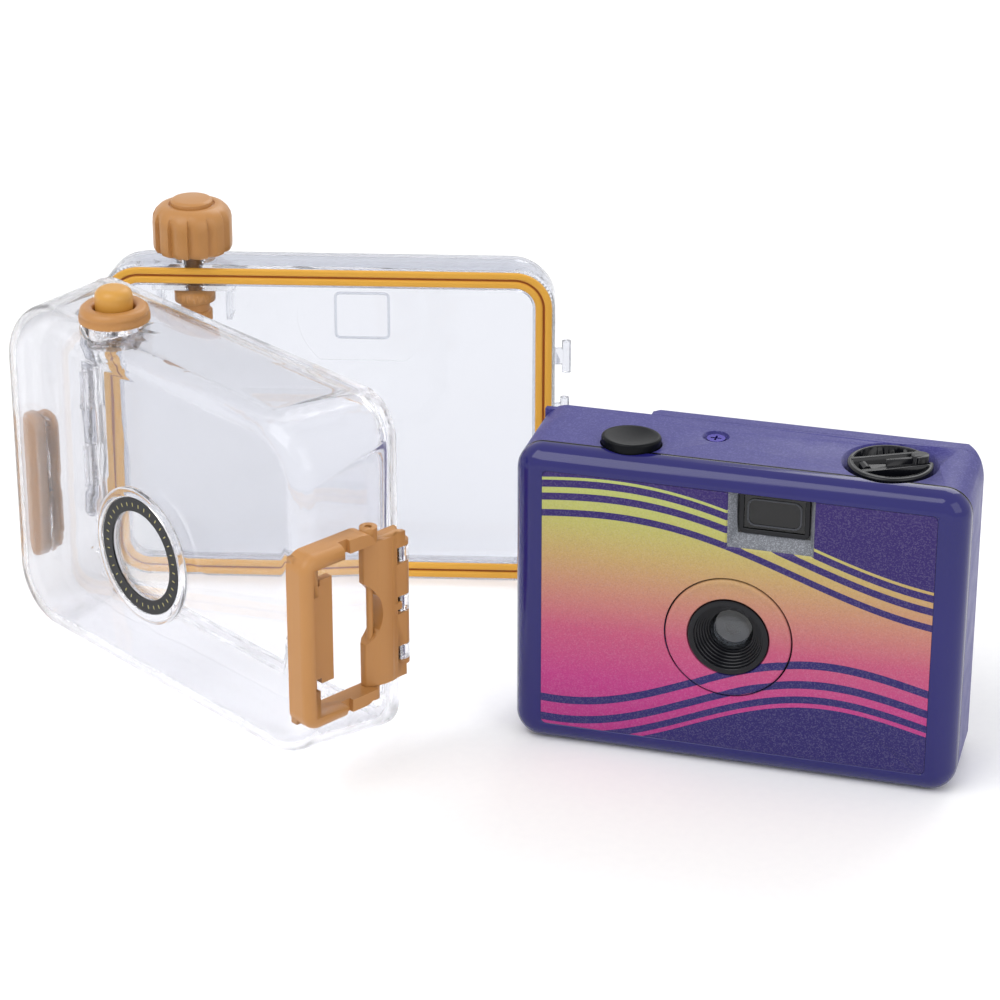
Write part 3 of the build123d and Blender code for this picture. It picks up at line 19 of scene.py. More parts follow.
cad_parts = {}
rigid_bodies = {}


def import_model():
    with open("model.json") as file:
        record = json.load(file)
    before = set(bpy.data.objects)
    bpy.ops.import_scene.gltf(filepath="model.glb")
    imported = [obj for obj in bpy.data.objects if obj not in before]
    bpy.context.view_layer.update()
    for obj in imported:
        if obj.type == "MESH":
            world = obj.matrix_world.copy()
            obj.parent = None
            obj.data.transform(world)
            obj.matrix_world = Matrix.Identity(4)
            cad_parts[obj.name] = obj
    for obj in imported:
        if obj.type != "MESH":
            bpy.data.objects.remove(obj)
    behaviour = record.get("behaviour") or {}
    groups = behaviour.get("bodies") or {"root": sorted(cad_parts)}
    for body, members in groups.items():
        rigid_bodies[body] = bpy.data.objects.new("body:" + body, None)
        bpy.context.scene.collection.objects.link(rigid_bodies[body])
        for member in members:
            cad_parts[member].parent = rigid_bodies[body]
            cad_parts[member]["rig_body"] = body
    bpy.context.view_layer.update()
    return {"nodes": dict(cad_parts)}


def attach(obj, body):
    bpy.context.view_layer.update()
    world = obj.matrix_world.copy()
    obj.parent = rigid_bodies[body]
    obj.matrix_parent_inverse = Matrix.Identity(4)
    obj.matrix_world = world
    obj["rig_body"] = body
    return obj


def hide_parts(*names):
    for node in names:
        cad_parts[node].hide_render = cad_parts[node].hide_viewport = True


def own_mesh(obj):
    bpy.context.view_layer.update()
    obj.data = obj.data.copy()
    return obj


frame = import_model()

MM = 0.001
log = logging.getLogger("film_camera")
Colour = tuple[float, float, float, float]
Point = tuple[float, float]
Place = tuple[float, float, float]
# What adds a node to one tree.
Adder = Callable[..., Node]

# The middle of the camera's lens on the front's plane.
LENS_PLACE: Place = (-1.2, -15.0, 37.5)
# How far a mould grain stands out at full strength, in metres.
GRAIN_HEIGHT = 0.0001
# Points of a mesh nearer than this are merged, in metres.
MERGED = 0.000001
# Edges sharper than this many degrees stay crisp.
CRISP = 32.0
# How the names of the node types start.
KIND_STARTS = ("ShaderNode", "GeometryNode", "")


# Small helpers

def linear(hex_colour: str) -> Colour:
    """Turns an sRGB hex colour into the linear values that the shaders use.

    Args:
        hex_colour: a hash sign and six hex digits.

    Returns:
        The linear colour.
    """
    digits = hex_colour.lstrip("#")
    channels = [int(digits[i:i + 2], 16) / 255 for i in (0, 2, 4)]
    curved = [c / 12.92 if c <= 0.04045 else ((c + 0.055) / 1.055) ** 2.4 for c in channels]
    return curved[0], curved[1], curved[2], 1.0


def plug(node: Node, links: dict) -> None:
    """Sets and links the inputs of a node.

    Args:
        node: the node.
        links: each input's name or number with what feeds it: a node (its first output), a socket, a hex
            colour or a value.
    """
    for key, source in links.items():
        socket = node.inputs[key]
        if isinstance(source, Node):
            source = source.outputs[0]
        if isinstance(source, NodeSocket):
            node.id_data.links.new(source, socket)
        else:
            socket.default_value = linear(source) if isinstance(source, str) else source


def add_node(tree: NodeTree, kind: str, links: Optional[dict] = None, **settings) -> Node:
    """Adds one node, sets its values and links its inputs.

    Args:
        tree: the node tree.
        kind: Blender's name for the node type, with or without the words of KIND_STARTS.
        links: what feeds its inputs, as plug takes it.
        settings: attributes of the node itself.

    Returns:
        The new node.
    """
    node = tree.nodes.new(next(start + kind for start in KIND_STARTS if hasattr(bpy.types, start + kind)))
    for name, value in settings.items():
        setattr(node, name, value)
    plug(node, links or {})
    return node


def new_material(name: str, centre: Place = (0, 0, 0)) -> tuple[Material, Adder, Node, Node]:
    """Makes a node material with one Principled shader.

    Args:
        name: the material's name.
        centre: the place that the pattern is counted from, in millimetres.

    Returns:
        The material, what adds a node to it, its Principled node, and the surface's point in millimetres.
    """
    material = bpy.data.materials.new(name)
    material.use_nodes = True
    tree = material.node_tree
    add = partial(add_node, tree)
    scaled = add("VectorMath", {0: add("TexCoord").outputs["Object"], "Scale": 1 / MM}, operation="SCALE")
    point = add("VectorMath", {0: scaled, 1: centre}, operation="SUBTRACT")
    return material, add, tree.nodes["Principled BSDF"], point


def link_piece(name: str, data: bpy.types.ID) -> Object:
    """Puts a mesh, a lamp or a camera into the scene.

    Args:
        name: the object's name.
        data: what it shows.

    Returns:
        The object.
    """
    piece = bpy.data.objects.new(name, data)
    bpy.context.scene.collection.objects.link(piece)
    return piece


def shift(x: float, y: float, z: float, turn_x: float = 0.0, turn_z: float = 0.0) -> Matrix:
    """Gives a place in millimetres with a turn about X and then about Z.

    Args:
        x: millimetres to the viewer's right.
        y: millimetres backwards.
        z: millimetres up.
        turn_x: degrees about X.
        turn_z: degrees about Z.

    Returns:
        The place as a matrix in metres.
    """
    turned = Matrix.Rotation(math.radians(turn_z), 4, "Z") @ Matrix.Rotation(math.radians(turn_x), 4, "X")
    return Matrix.Translation((x * MM, y * MM, z * MM)) @ turned


# The case's two halves, each turned about the hinge.
HINGE: Place = (-199.2, 45.6, 0.0)
FRONT_HALF = shift(*HINGE, 0, -30.8)
BACK_HALF = shift(*HINGE, 0, 13.4)


# Finishes

@dataclass(frozen=True)
class Finish:
    """What every finish has: its name and the record's slot that it stands for."""

    name: str
    slot: str

    def build(self) -> Material:
        """Makes the material; each kind of finish has its own way."""
        raise NotImplementedError


@dataclass(frozen=True)
class Moulded(Finish):
    """An injection-moulded plastic or rubber.

    The eye gets a colour that drifts a little where the melt ran, a fine mould grain, and faint handling
    marks that change the gloss.
    """

    colour: str
    shade: str
    roughness: float
    grain_mm: float = 0.5
    grain_depth: float = 0.05
    specular: float = 0.4
    coat: float = 0.0
    sheen: float = 0.0
    # Where a parting line crosses the camera's depth, if one does, with half the width of its band of painted
    # shade and that shade's colour.
    seam: Optional[float] = None
    seam_half: float = 0.5
    seam_colour: str = "#0E0C26"
    # Patches to the millimetre: the colour drifts over 20 mm, and a handling mark is some 8 mm wide.
    drift: ClassVar[float] = 0.05
    marks: ClassVar[float] = 0.12

    def tint(self, add: Adder, point: Node) -> NodeSocket:
        """Lets the colour drift slowly.

        Args:
            add: adds a node to the material.
            point: the point on the surface.

        Returns:
            The colour's socket.
        """
        drift = add("TexNoise", {"Vector": point, "Scale": self.drift, "Detail": 3.0})
        return add("Mix", {0: drift, 6: self.colour, 7: self.shade}, data_type="RGBA").outputs[2]

    def build(self) -> Material:
        """Makes the material.

        Returns:
            The finished material.
        """
        material, add, shader, point = new_material(self.name)
        colour = self.tint(add, point)
        if self.seam is not None:
            # Painted shade, with some dust, along the parting line: the real gap is 0.3 mm wide, but the dark
            # band is 1 mm here, so that it shows.
            depth = add("SeparateXYZ", {0: point}).outputs[1]
            in_painted_seam_shade = add("Math", {0: depth, 1: self.seam, 2: self.seam_half}, operation="COMPARE")
            colour = add("Mix", {0: in_painted_seam_shade, 6: colour, 7: self.seam_colour}, data_type="RGBA").outputs[2]
        smear = add("TexNoise", {"Vector": point, "Scale": self.marks, "Detail": 4.0})
        rough = add("MapRange", {0: smear, 1: 0.3, 2: 0.7, 3: self.roughness * 0.85, 4: self.roughness * 1.2})
        grain = add("TexNoise", {"Vector": point, "Scale": 1 / self.grain_mm, "Detail": 2.0})
        bump = add("Bump", {"Height": grain, "Strength": self.grain_depth, "Distance": GRAIN_HEIGHT})
        plug(shader, {"Base Color": colour, "Roughness": rough, "Normal": bump, "IOR": 1.5,
                      "Specular IOR Level": self.specular, "Coat Weight": self.coat, "Coat Roughness": 0.05,
                      "Sheen Weight": self.sheen})
        return material


@dataclass(frozen=True)
class Speckled(Moulded):
    """A moulding sprayed with a pearl lacquer: fine pale flakes over a deeper ground."""

    flake: str = "#8E8CCB"
    flake_share: float = 0.3
    flake_mm: float = 0.34
    flake_weight: float = 0.5

    def tint(self, add: Adder, point: Node) -> NodeSocket:
        """Scatters the flakes over the ground's colour.

        Args:
            add: adds a node to the material.
            point: the point on the surface.

        Returns:
            The colour's socket.
        """
        ground = super().tint(add, point)
        # Real flakes are near 0.05 mm; these are coarser, so that they show.
        cells = add("TexVoronoi", {"Vector": point, "Scale": 1 / self.flake_mm})
        spark = add("SeparateColor", {0: cells.outputs["Color"]})
        amount = add("MapRange", {0: spark, 1: 1.0 - self.flake_share, 2: 1.0, 3: 0.0, 4: self.flake_weight})
        return add("Mix", {0: amount, 6: ground, 7: self.flake}, data_type="RGBA").outputs[2]


@dataclass(frozen=True)
class Clear(Finish):
    """A see-through moulding or a lens.

    A share of the light goes straight through, as it does through a thin flat wall. The rest bends and
    mirrors, which draws the edges, and a slow ripple from the mould moves the reflections.
    """

    colour: str
    edge: str
    roughness: float
    ior: float
    straight: float = 0.0
    ripple: float = 0.0
    # Patches to the millimetre: a fingermark is some 11 mm wide, a ripple some 30 mm.
    marks: ClassVar[float] = 0.09
    flow: ClassVar[float] = 0.035
    # How far a ripple stands out at full strength, in metres.
    flow_height: ClassVar[float] = 0.0006

    def build(self) -> Material:
        """Makes the material.

        Returns:
            The finished material.
        """
        material, add, shader, point = new_material(self.name)
        rim = add("LayerWeight", {"Blend": 0.2})
        tinted = add("Mix", {0: rim.outputs["Facing"], 6: self.colour, 7: self.edge}, data_type="RGBA")
        smear = add("TexNoise", {"Vector": point, "Scale": self.marks, "Detail": 5.0})
        rough = add("MapRange", {0: smear, 1: 0.35, 2: 0.75, 3: self.roughness * 0.4,
                                 4: self.roughness * 1.6})
        flow = add("TexNoise", {"Vector": point, "Scale": self.flow, "Detail": 1.0})
        bump = add("Bump", {"Height": flow, "Strength": self.ripple, "Distance": self.flow_height})
        plug(shader, {"Base Color": tinted.outputs[2], "Roughness": rough, "Normal": bump,
                      "Transmission Weight": 1.0, "IOR": self.ior, "Alpha": 1.0 - self.straight})
        return material


@dataclass(frozen=True)
class Metal(Finish):
    """A plated, blacked or drawn metal: fine streaks change its gloss and, a little, its colour."""

    colour: str
    shade: str
    roughness: float
    # Streaks to the millimetre.
    streaks: ClassVar[float] = 1.5

    def build(self) -> Material:
        """Makes the material.

        Returns:
            The finished material.
        """
        material, add, shader, point = new_material(self.name)
        streak = add("TexNoise", {"Vector": point, "Scale": self.streaks, "Detail": 3.0})
        mix = add("Mix", {0: streak, 6: self.colour, 7: self.shade}, data_type="RGBA")
        rough = add("MapRange", {0: streak, 1: 0.3, 2: 0.7, 3: self.roughness * 0.75,
                                 4: self.roughness * 1.3})
        plug(shader, {"Base Color": mix.outputs[2], "Roughness": rough, "Metallic": 1.0})
        return material


@dataclass(frozen=True)
class Waves:
    """Printed waves that follow one flowing line, in millimetres from the lens's middle.

    The line is a sine: length is what one radian of it takes, start is where in it the lens stands, in
    radians, swing is how far it rises and falls, and slope is how steeply it climbs to the right. The edges
    are the lower and upper side of each wave over the line.
    """

    length: float
    start: float
    swing: float
    slope: float
    edges: tuple[Point, ...]

    def mask(self, add: Adder, parts: Node) -> Node:
        """Marks the waves.

        Args:
            add: adds a node to the material.
            parts: the point's three coordinates.

        Returns:
            A node that is 1 inside a wave and 0 between them.
        """
        x, _, z = parts.outputs
        angle = add("Math", {0: x, 1: 1 / self.length, 2: self.start}, operation="MULTIPLY_ADD")
        wave = add("Math", {0: angle}, operation="SINE")
        rise = add("Math", {0: wave, 1: -self.swing, 2: z}, operation="MULTIPLY_ADD")
        level = add("Math", {0: x, 1: -self.slope, 2: rise}, operation="MULTIPLY_ADD")
        total = None
        for low, high in self.edges:
            middle, half = (low + high) / 2, (high - low) / 2
            near = add("Math", {0: level, 1: middle, 2: half}, operation="COMPARE")
            total = near if total is None else add("Math", {0: total, 1: near}, operation="MAXIMUM")
        return total


@dataclass(frozen=True)
class PrintedFront(Finish):
    """Pearl ink on a glossy plate: wide waves whose colour fades with height, on a deep purple ground.

    The eye gets crisp edges between ink and ground, and the fine sparkle of the pearl.
    """

    ground_low: str = "#231C5C"
    ground_high: str = "#2C1A5E"
    # The plate's foot and head, in millimetres over the lens's middle.
    foot: float = -31.0
    head: float = 40.0
    # Height over the plate's foot, as a share, and the ink's colour there.
    fade: tuple[tuple[float, str], ...] = (
        (0.0, "#A02A74"), (0.2, "#AE3678"), (0.4, "#B4506F"), (0.55, "#B67A68"), (0.7, "#B4975F"),
        (0.84, "#ADAB5E"), (1.0, "#A9B465"))
    # Grains to the millimetre: real pearl is near 0.1 mm, this is near 0.3 mm, so that it shows.
    grains: float = 3.6
    # The part of the grains' range that stays plain, how much the others weigh, and their colour.
    pale: tuple[float, float, str] = (0.5, 0.05, "#F4ECFF")
    deep: tuple[float, float, str] = (0.6, 0.12, "#2A1850")
    low: Waves = Waves(19.0, 0.5, 6.5, 0.10, ((-25.6, -24.4), (-22.4, -20.2), (-18.0, -14.6), (-12.4, 60.0)))
    high: Waves = Waves(23.0, 2.4, 5.5, -0.12, ((-60.0, 20.5), (22.4, 25.0), (27.0, 28.6), (30.6, 31.4)))

    def build(self) -> Material:
        """Makes the material.

        Returns:
            The finished material.
        """
        material, add, shader, point = new_material(self.name, LENS_PLACE)
        parts = add("SeparateXYZ", {0: point})
        height = add("MapRange", {0: parts.outputs[2], 1: self.foot, 2: self.head})
        fade = add("ValToRGB", {0: height})
        stops = fade.color_ramp.elements
        stops[0].color, stops[-1].color = linear(self.fade[0][1]), linear(self.fade[-1][1])
        for place, colour in self.fade[1:-1]:
            stops.new(place).color = linear(colour)
        inked = add("Math", {0: self.low.mask(add, parts), 1: self.high.mask(add, parts)},
                    operation="MULTIPLY")
        ground = add("Mix", {0: height, 6: self.ground_low, 7: self.ground_high}, data_type="RGBA")
        colour = add("Mix", {0: inked, 6: ground.outputs[2], 7: fade}, data_type="RGBA").outputs[2]
        cells = add("TexVoronoi", {"Vector": point, "Scale": self.grains})
        spark, second, third = add("SeparateColor", {0: cells.outputs["Color"]}).outputs
        for chance, (plain, weight, ink) in ((spark, self.pale), (second, self.deep)):
            amount = add("MapRange", {0: chance, 1: plain, 2: 1.0, 3: 0.0, 4: weight})
            colour = add("Mix", {0: amount, 6: colour, 7: ink}, data_type="RGBA").outputs[2]
        rough = add("MapRange", {0: third, 3: 0.32, 4: 0.5})
        bump = add("Bump", {"Height": spark, "Strength": 0.04, "Distance": GRAIN_HEIGHT})
        plug(shader, {"Base Color": colour, "Roughness": rough, "Normal": bump, "Specular IOR Level": 0.25,
                      "Coat Weight": 0.06, "Coat Roughness": 0.12})
        return material


class Stock(Enum):
    """The finishes that the camera and its case are made in."""

    # Glossy ABS, polished mould: deep colour with sharp, mirror-like highlights along the rolled edges.
    # Its parting line, at seam, gets a band of painted shade.
    PURPLE_GLOSS = Moulded("gloss_moulded_abs_purple", "purple_gloss", "#211E66", "#1C1A5C", 0.1, 0.9, 0.01,
                           0.35, 0.1, seam=-9.0)
    # Pearl lacquer on ABS: softer gloss, with a fine silvery speckle.
    # Its parting line, at seam, gets a band of painted shade.
    LAVENDER = Speckled("pearl_lacquered_abs_lavender", "lavender_matte", "#3D3A7C", "#383576", 0.36, 0.4,
                        0.02, 0.2, flake="#7F7DBC", flake_share=0.4, flake_weight=0.22, seam=-9.0)
    # Silver-grey pearl ink that runs down into the viewfinder's funnel.
    SILVER_INK = Speckled("pearl_ink_silver", "panel_print", "#6C6F76", "#62656C", 0.4, 0.4, 0.05, 0.3,
                          flake="#B9BCC4", flake_share=0.5, flake_mm=0.25, flake_weight=0.4)
    # Satin black ABS: the button's face, which shows almost no reflection.
    BLACK_SATIN = Moulded("satin_moulded_abs_black", "black_gloss", "#090B10", "#06080C", 0.36, 0.8, 0.02,
                          0.12)
    # Glossy black ABS, as on the crank and the lens barrel.
    BLACK_GLOSS = Moulded("gloss_moulded_abs_black", "black_gloss", "#0B0C11", "#101117", 0.2, 0.8, 0.02, 0.3)
    # Smoke-grey ABS, a shade lighter than the black round it: the thin frame inside the viewfinder.
    GREY_FRAME = Moulded("satin_moulded_abs_grey", "black_plastic", "#3C3E45", "#34363C", 0.3, 0.6, 0.02, 0.4)
    # Spark-eroded black ABS: the light-tight inside, which kills reflections.
    BLACK_MATTE = Moulded("spark_textured_abs_black", "black_plastic", "#17171A", "#1C1C20", 0.55, 0.35, 0.12,
                          0.3)
    # Satin ABS in tan: broad soft highlights.
    TAN = Moulded("satin_moulded_abs_tan", "tan_plastic", "#B8844C", "#AF7B45", 0.36, 0.45, 0.03, 0.4)
    # The same satin ABS in a fresher amber, as on the plunger that is pressed.
    AMBER = Moulded("satin_moulded_abs_amber", "tan_plastic", "#CB9644", "#C38E3E", 0.34, 0.45, 0.02, 0.4)
    # Translucent silicone: waxy, a little sheen at the edges.
    SILICONE = Moulded("moulded_silicone_amber", "tan_rubber", "#DDA53C", "#D69C34", 0.45, 0.6, 0.03, 0.35,
                       sheen=0.1)
    # Painted shade: the same silicone made deeper and redder, where the groove lies in its own shadow.
    SILICONE_GROOVE = Moulded("moulded_silicone_amber_painted_shade", "tan_rubber", "#9C5416", "#8F4B12", 0.5, 0.6,
                              0.03, 0.3)
    # Black nitrile rubber: dull, fine-grained.
    RUBBER = Moulded("moulded_rubber_black", "black_rubber", "#161616", "#1C1C1C", 0.65, 0.3, 0.12, 0.25)
    # Gold ink on the window ring and white ink on the dial.
    GOLD_INK = Moulded("printed_ink_gold", "panel_print", "#B4AC6E", "#A89F62", 0.5, 0.3, 0.03, 0.3)
    WHITE_INK = Moulded("printed_ink_white", "panel_print", "#D8D8D8", "#CCCCCC", 0.5, 0.3, 0.03, 0.3)
    # Bright zinc plate on turned pins and springs.
    STEEL = Metal("zinc_plated_steel", "steel", "#B9B9BC", "#A6A7AB", 0.26)
    # Purple lacquer over a pressed steel screw.
    SCREW = Metal("lacquered_steel_screw_purple", "steel", "#4A3F9A", "#40368C", 0.3)
    # Blacked spring steel: dark, with a low satin gloss.
    BLACKED = Metal("blacked_spring_steel", "steel", "#2B2C30", "#232427", 0.45)
    # Polycarbonate shell, 2 mm thick and crystal clear, with pale blue-grey edges.
    CLEAR_CASE = Clear("clear_moulded_polycarbonate", "clear_shell", "#FBFBFD", "#9498A8", 0.0, 1.3, 0.12,
                       0.01)
    # A sharp inner step of the same plastic, which the eye sees as a thin grey line.
    CLEAR_EDGE = Clear("clear_polycarbonate_step", "clear_shell", "#D6D9E0", "#9498A8", 0.0, 1.3, 0.3, 0.0)
    # The back half is the thicker moulding, so its tint is the deeper one.
    CLEAR_BACK = Clear("clear_polycarbonate_thick", "clear_shell", "#DCDEE5", "#9498A8", 0.0, 1.3, 0.12, 0.01)
    # Flat acrylic: nothing to see but its edge.
    CLEAR_WINDOW = Clear("flat_moulded_acrylic", "optical_glass", "#FFFFFF", "#D6D9E6", 0.0, 1.3, 0.6)
    # Smoked acrylic: a dark pane that still lets light through.
    SMOKED = Clear("smoked_acrylic", "smoke_glass", "#2E2E3A", "#24242E", 0.02, 1.49)
    # Acrylic lens with a weak coating, which leaves a cool tint.
    LENS = Clear("polished_acrylic_lens", "optical_glass", "#C6CEDA", "#A9B0C4", 0.01, 1.68)


AnyFinish = Union[Stock, Finish]


def recipe(finish: AnyFinish) -> Finish:
    """Gives the finish itself, also where a member of the stock list is meant."""
    return finish.value if isinstance(finish, Stock) else finish


@cache
def made(finish: AnyFinish) -> Material:
    """Makes the material of a finish once, however often it is asked for."""
    return recipe(finish).build()


def ride_with(piece: Object, node: str, replaced: Sequence[str], finish: AnyFinish) -> None:
    """Ties a finished piece to the body of a CAD node and notes what it stands for.

    Args:
        piece: the piece.
        node: the CAD node whose body it rides.
        replaced: the CAD nodes that it replaces.
        finish: its main finish.
    """
    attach(piece, frame["nodes"][node]["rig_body"])
    if replaced:
        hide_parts(*replaced)
    log.info("%s in %s", piece.name, recipe(finish).name)


def dress(node: str, finish: AnyFinish) -> None:
    """Gives a CAD node its material.

    Args:
        node: the node's name.
        finish: the finish to use.
    """
    mesh = frame["nodes"][node].data
    mesh.materials.clear()
    mesh.materials.append(made(finish))
    log.info("%s in %s", node, recipe(finish).name)


def show(name: str, mesh: Mesh, finish: AnyFinish, node: str, replaced: Sequence[str], angle: float,
         outward: bool = False) -> Object:
    """Puts a mesh into the scene as a piece whose curved faces shade smoothly.

    Args:
        name: the piece's name.
        mesh: its mesh, in the scene's own frame.
        finish: its main finish.
        node: the CAD node whose body it rides.
        replaced: the CAD nodes that it replaces.
        angle: edges sharper than this many degrees stay crisp.
        outward: whether the faces still have to be turned outwards.

    Returns:
        The piece.
    """
    work = bmesh.new()
    work.from_mesh(mesh)
    bmesh.ops.remove_doubles(work, verts=work.verts, dist=MERGED)
    if outward:
        bmesh.ops.recalc_face_normals(work, faces=work.faces)
    work.to_mesh(mesh)
    work.free()
    mesh.polygons.foreach_set("use_smooth", [True] * len(mesh.polygons))
    mesh.set_sharp_from_angle(angle=math.radians(angle))
    piece = link_piece(name, mesh)
    piece.modifiers.new("even_normals", "WEIGHTED_NORMAL").keep_sharp = True
    ride_with(piece, node, replaced, finish)
    return piece


def smooth_copy(node: str, finish: AnyFinish) -> Object:
    """Shows a CAD node through a merged copy of its mesh whose curved faces shade smoothly.

    Args:
        node: the node's name.
        finish: the finish to use.

    Returns:
        The new piece.
    """
    mesh = frame["nodes"][node].data.copy()
    mesh.materials.clear()
    mesh.materials.append(made(finish))
    return show(node + "_shown", mesh, finish, node, [node], CRISP)


def squeeze(spring: Object) -> None:
    """Gives a spring's piece a copy of its mesh of its own.

    Args:
        spring: the spring's piece.
    """
    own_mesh(spring)


def paint_within(piece: Object, finish: AnyFinish, low: Place, high: Place) -> None:
    """Gives a second finish to the faces that lie wholly inside a box.

    Args:
        piece: the piece.
        finish: the second finish.
        low: the box's low corner in millimetres.
        high: its high corner.
    """
    mesh = piece.data
    mesh.materials.append(made(finish))
    second = len(mesh.materials) - 1
    for face in mesh.polygons:
        corners = [mesh.vertices[number].co / MM for number in face.vertices]
        if all(low[i] <= corner[i] <= high[i] for corner in corners for i in range(3)):
            face.material_index = second


# Shapes that follow a rule, made by node trees

@dataclass
class NodeShape:
    """A mesh made by a geometry node tree from named sizes."""

    name: str
    finish: AnyFinish
    # The fields that are shares and not lengths.
    shares: ClassVar[tuple[str, ...]] = ()

    def sizes(self) -> dict[str, Union[int, float]]:
        """Gives the tree's named inputs.

        Returns:
            The shape's own number fields by name: counts and shares as they are, lengths in metres.
        """
        named = {}
        for item in fields(self):
            value = getattr(self, item.name)
            if isinstance(value, (int, float)):
                plain = isinstance(value, int) or item.name in self.shares
                named[item.name.replace("_", " ").title()] = value if plain else value * MM
        return named

    def outline(self) -> list[Place]:
        """Gives the points, in metres, that the tree starts from."""
        return [(0.0, 0.0, 0.0)]

    def wire(self, add: Adder, size: Sequence[NodeSocket]) -> Node:
        """Wires the tree; each shape has its own.

        Args:
            add: adds a node to the tree.
            size: the sockets of the named sizes, and of the outline as Geometry.

        Returns:
            The node whose first output is the shape.
        """
        raise NotImplementedError

    def make(self, place: Matrix, node: str, replaced: Sequence[str] = (), angle: float = CRISP) -> Object:
        """Builds the tree, runs it once and ties the plain mesh to a body.

        Args:
            place: where it goes.
            node: the CAD node whose body it rides.
            replaced: the CAD nodes that it replaces.
            angle: edges sharper than this many degrees stay crisp.

        Returns:
            The piece.
        """
        tree = bpy.data.node_groups.new(self.name, "GeometryNodeTree")
        add, keys, given = partial(add_node, tree), {}, self.sizes()
        tree.interface.new_socket("Geometry", in_out="INPUT", socket_type="NodeSocketGeometry")
        for label, value in given.items():
            kind = "NodeSocketInt" if isinstance(value, int) else "NodeSocketFloat"
            keys[label] = tree.interface.new_socket(label, in_out="INPUT", socket_type=kind).identifier
        tree.interface.new_socket("Geometry", in_out="OUTPUT", socket_type="NodeSocketGeometry")
        shape = self.wire(add, add("NodeGroupInput").outputs)
        real = add("RealizeInstances", {"Geometry": shape})
        painted = add("SetMaterial", {"Geometry": real, "Material": made(self.finish)})
        add("NodeGroupOutput", {"Geometry": painted})
        points = self.outline()
        base = bpy.data.meshes.new(self.name + "_outline")
        base.from_pydata(points, [(i, i + 1) for i in range(len(points) - 1)], [])
        holder = link_piece(self.name + "_outline", base)
        modifier = holder.modifiers.new(self.name, "NODES")
        modifier.node_group = tree
        for label, value in given.items():
            modifier[keys[label]] = value
        mesh = bpy.data.meshes.new_from_object(holder.evaluated_get(bpy.context.evaluated_depsgraph_get()))
        holder.modifiers.remove(modifier)
        bpy.data.objects.remove(holder)
        mesh.transform(place)
        return show(self.name, mesh, self.finish, node, replaced, angle, outward=True)


@dataclass
class Turned(NodeShape):
    """A turned piece, plain or with flutes: one steep side and one sloping side to each."""

    profile: Sequence[Point]
    steps: int = 96
    flutes: int = 0
    flute_depth: float = 0.0
    # The part of each flute's turn that is cut, and the part that its steep side takes.
    flute_share: float = 0.4
    steep_share: ClassVar[float] = 0.07
    # The height from which the flutes fade out, over what height, and the radius inside which there are none.
    flute_high: float = 1000.0
    flute_fade: float = 1.0
    flute_from: float = 0.0
    shares: ClassVar[tuple[str, ...]] = ("flute_share",)

    def outline(self) -> list[Place]:
        """Gives the profile's points, in metres."""
        return [(radius * MM, 0.0, height * MM) for radius, height in self.profile]

    def wire(self, add: Adder, size: Sequence[NodeSocket]) -> Node:
        """Wraps a grid round the axis: one side counts the turn, the other the profile's points.

        Args:
            add: adds a node to the tree.
            size: the sockets of the named sizes, and of the outline as Geometry.

        Returns:
            The node whose first output is the shape.
        """
        count = add("AttributeDomainSize", {"Geometry": size["Geometry"]}).outputs["Point Count"]
        across = add("Math", {0: size["Steps"], 1: 1.0})
        grid = add("MeshGrid", {"Size X": 1.0, "Size Y": 1.0, "Vertices X": across, "Vertices Y": count})
        spot = add("InputPosition")
        parts = add("SeparateXYZ", {0: spot})
        share = add("Math", {0: parts.outputs[0], 1: 0.5})
        level = add("Math", {0: parts.outputs[1], 1: 0.5})
        last = add("Math", {0: count, 1: 1.0}, operation="SUBTRACT")
        row = add("Math", {0: level, 1: last}, operation="MULTIPLY")
        whole = add("Math", {0: row}, operation="ROUND")
        taken = add("SampleIndex", data_type="FLOAT_VECTOR", domain="POINT")
        plug(taken, {"Geometry": size["Geometry"], "Value": spot, "Index": whole})
        radius, _, height = add("SeparateXYZ", {0: taken}).outputs
        many = add("Math", {0: share, 1: size["Flutes"]}, operation="MULTIPLY")
        phase = add("Math", {0: many}, operation="FRACT")
        steep = add("MapRange", {0: phase, 1: 0.0, 2: self.steep_share})
        slope = add("MapRange", {0: phase, 1: self.steep_share, 2: size["Flute Share"], 3: 1.0, 4: 0.0})
        top = add("Math", {0: size["Flute High"], 1: size["Flute Fade"]})
        under = add("MapRange", {0: height, 1: size["Flute High"], 2: top, 3: 1.0, 4: 0.0},
                    interpolation_type="SMOOTHSTEP")
        outside = add("Math", {0: radius, 1: size["Flute From"]}, operation="GREATER_THAN")
        cut = size["Flute Depth"]
        for factor in (steep, slope, under, outside):
            cut = add("Math", {0: cut, 1: factor}, operation="MULTIPLY")
        left = add("Math", {0: radius, 1: cut}, operation="SUBTRACT")
        angle = add("Math", {0: share, 1: 2 * math.pi}, operation="MULTIPLY")
        point = add("CombineXYZ", {2: height})
        for axis, operation in enumerate(("COSINE", "SINE")):
            along = add("Math", {0: angle}, operation=operation)
            plug(point, {axis: add("Math", {0: left, 1: along}, operation="MULTIPLY")})
        wrapped = add("SetPosition", {"Geometry": grid, "Position": point})
        return add("MergeByDistance", {"Geometry": wrapped, "Distance": MERGED})


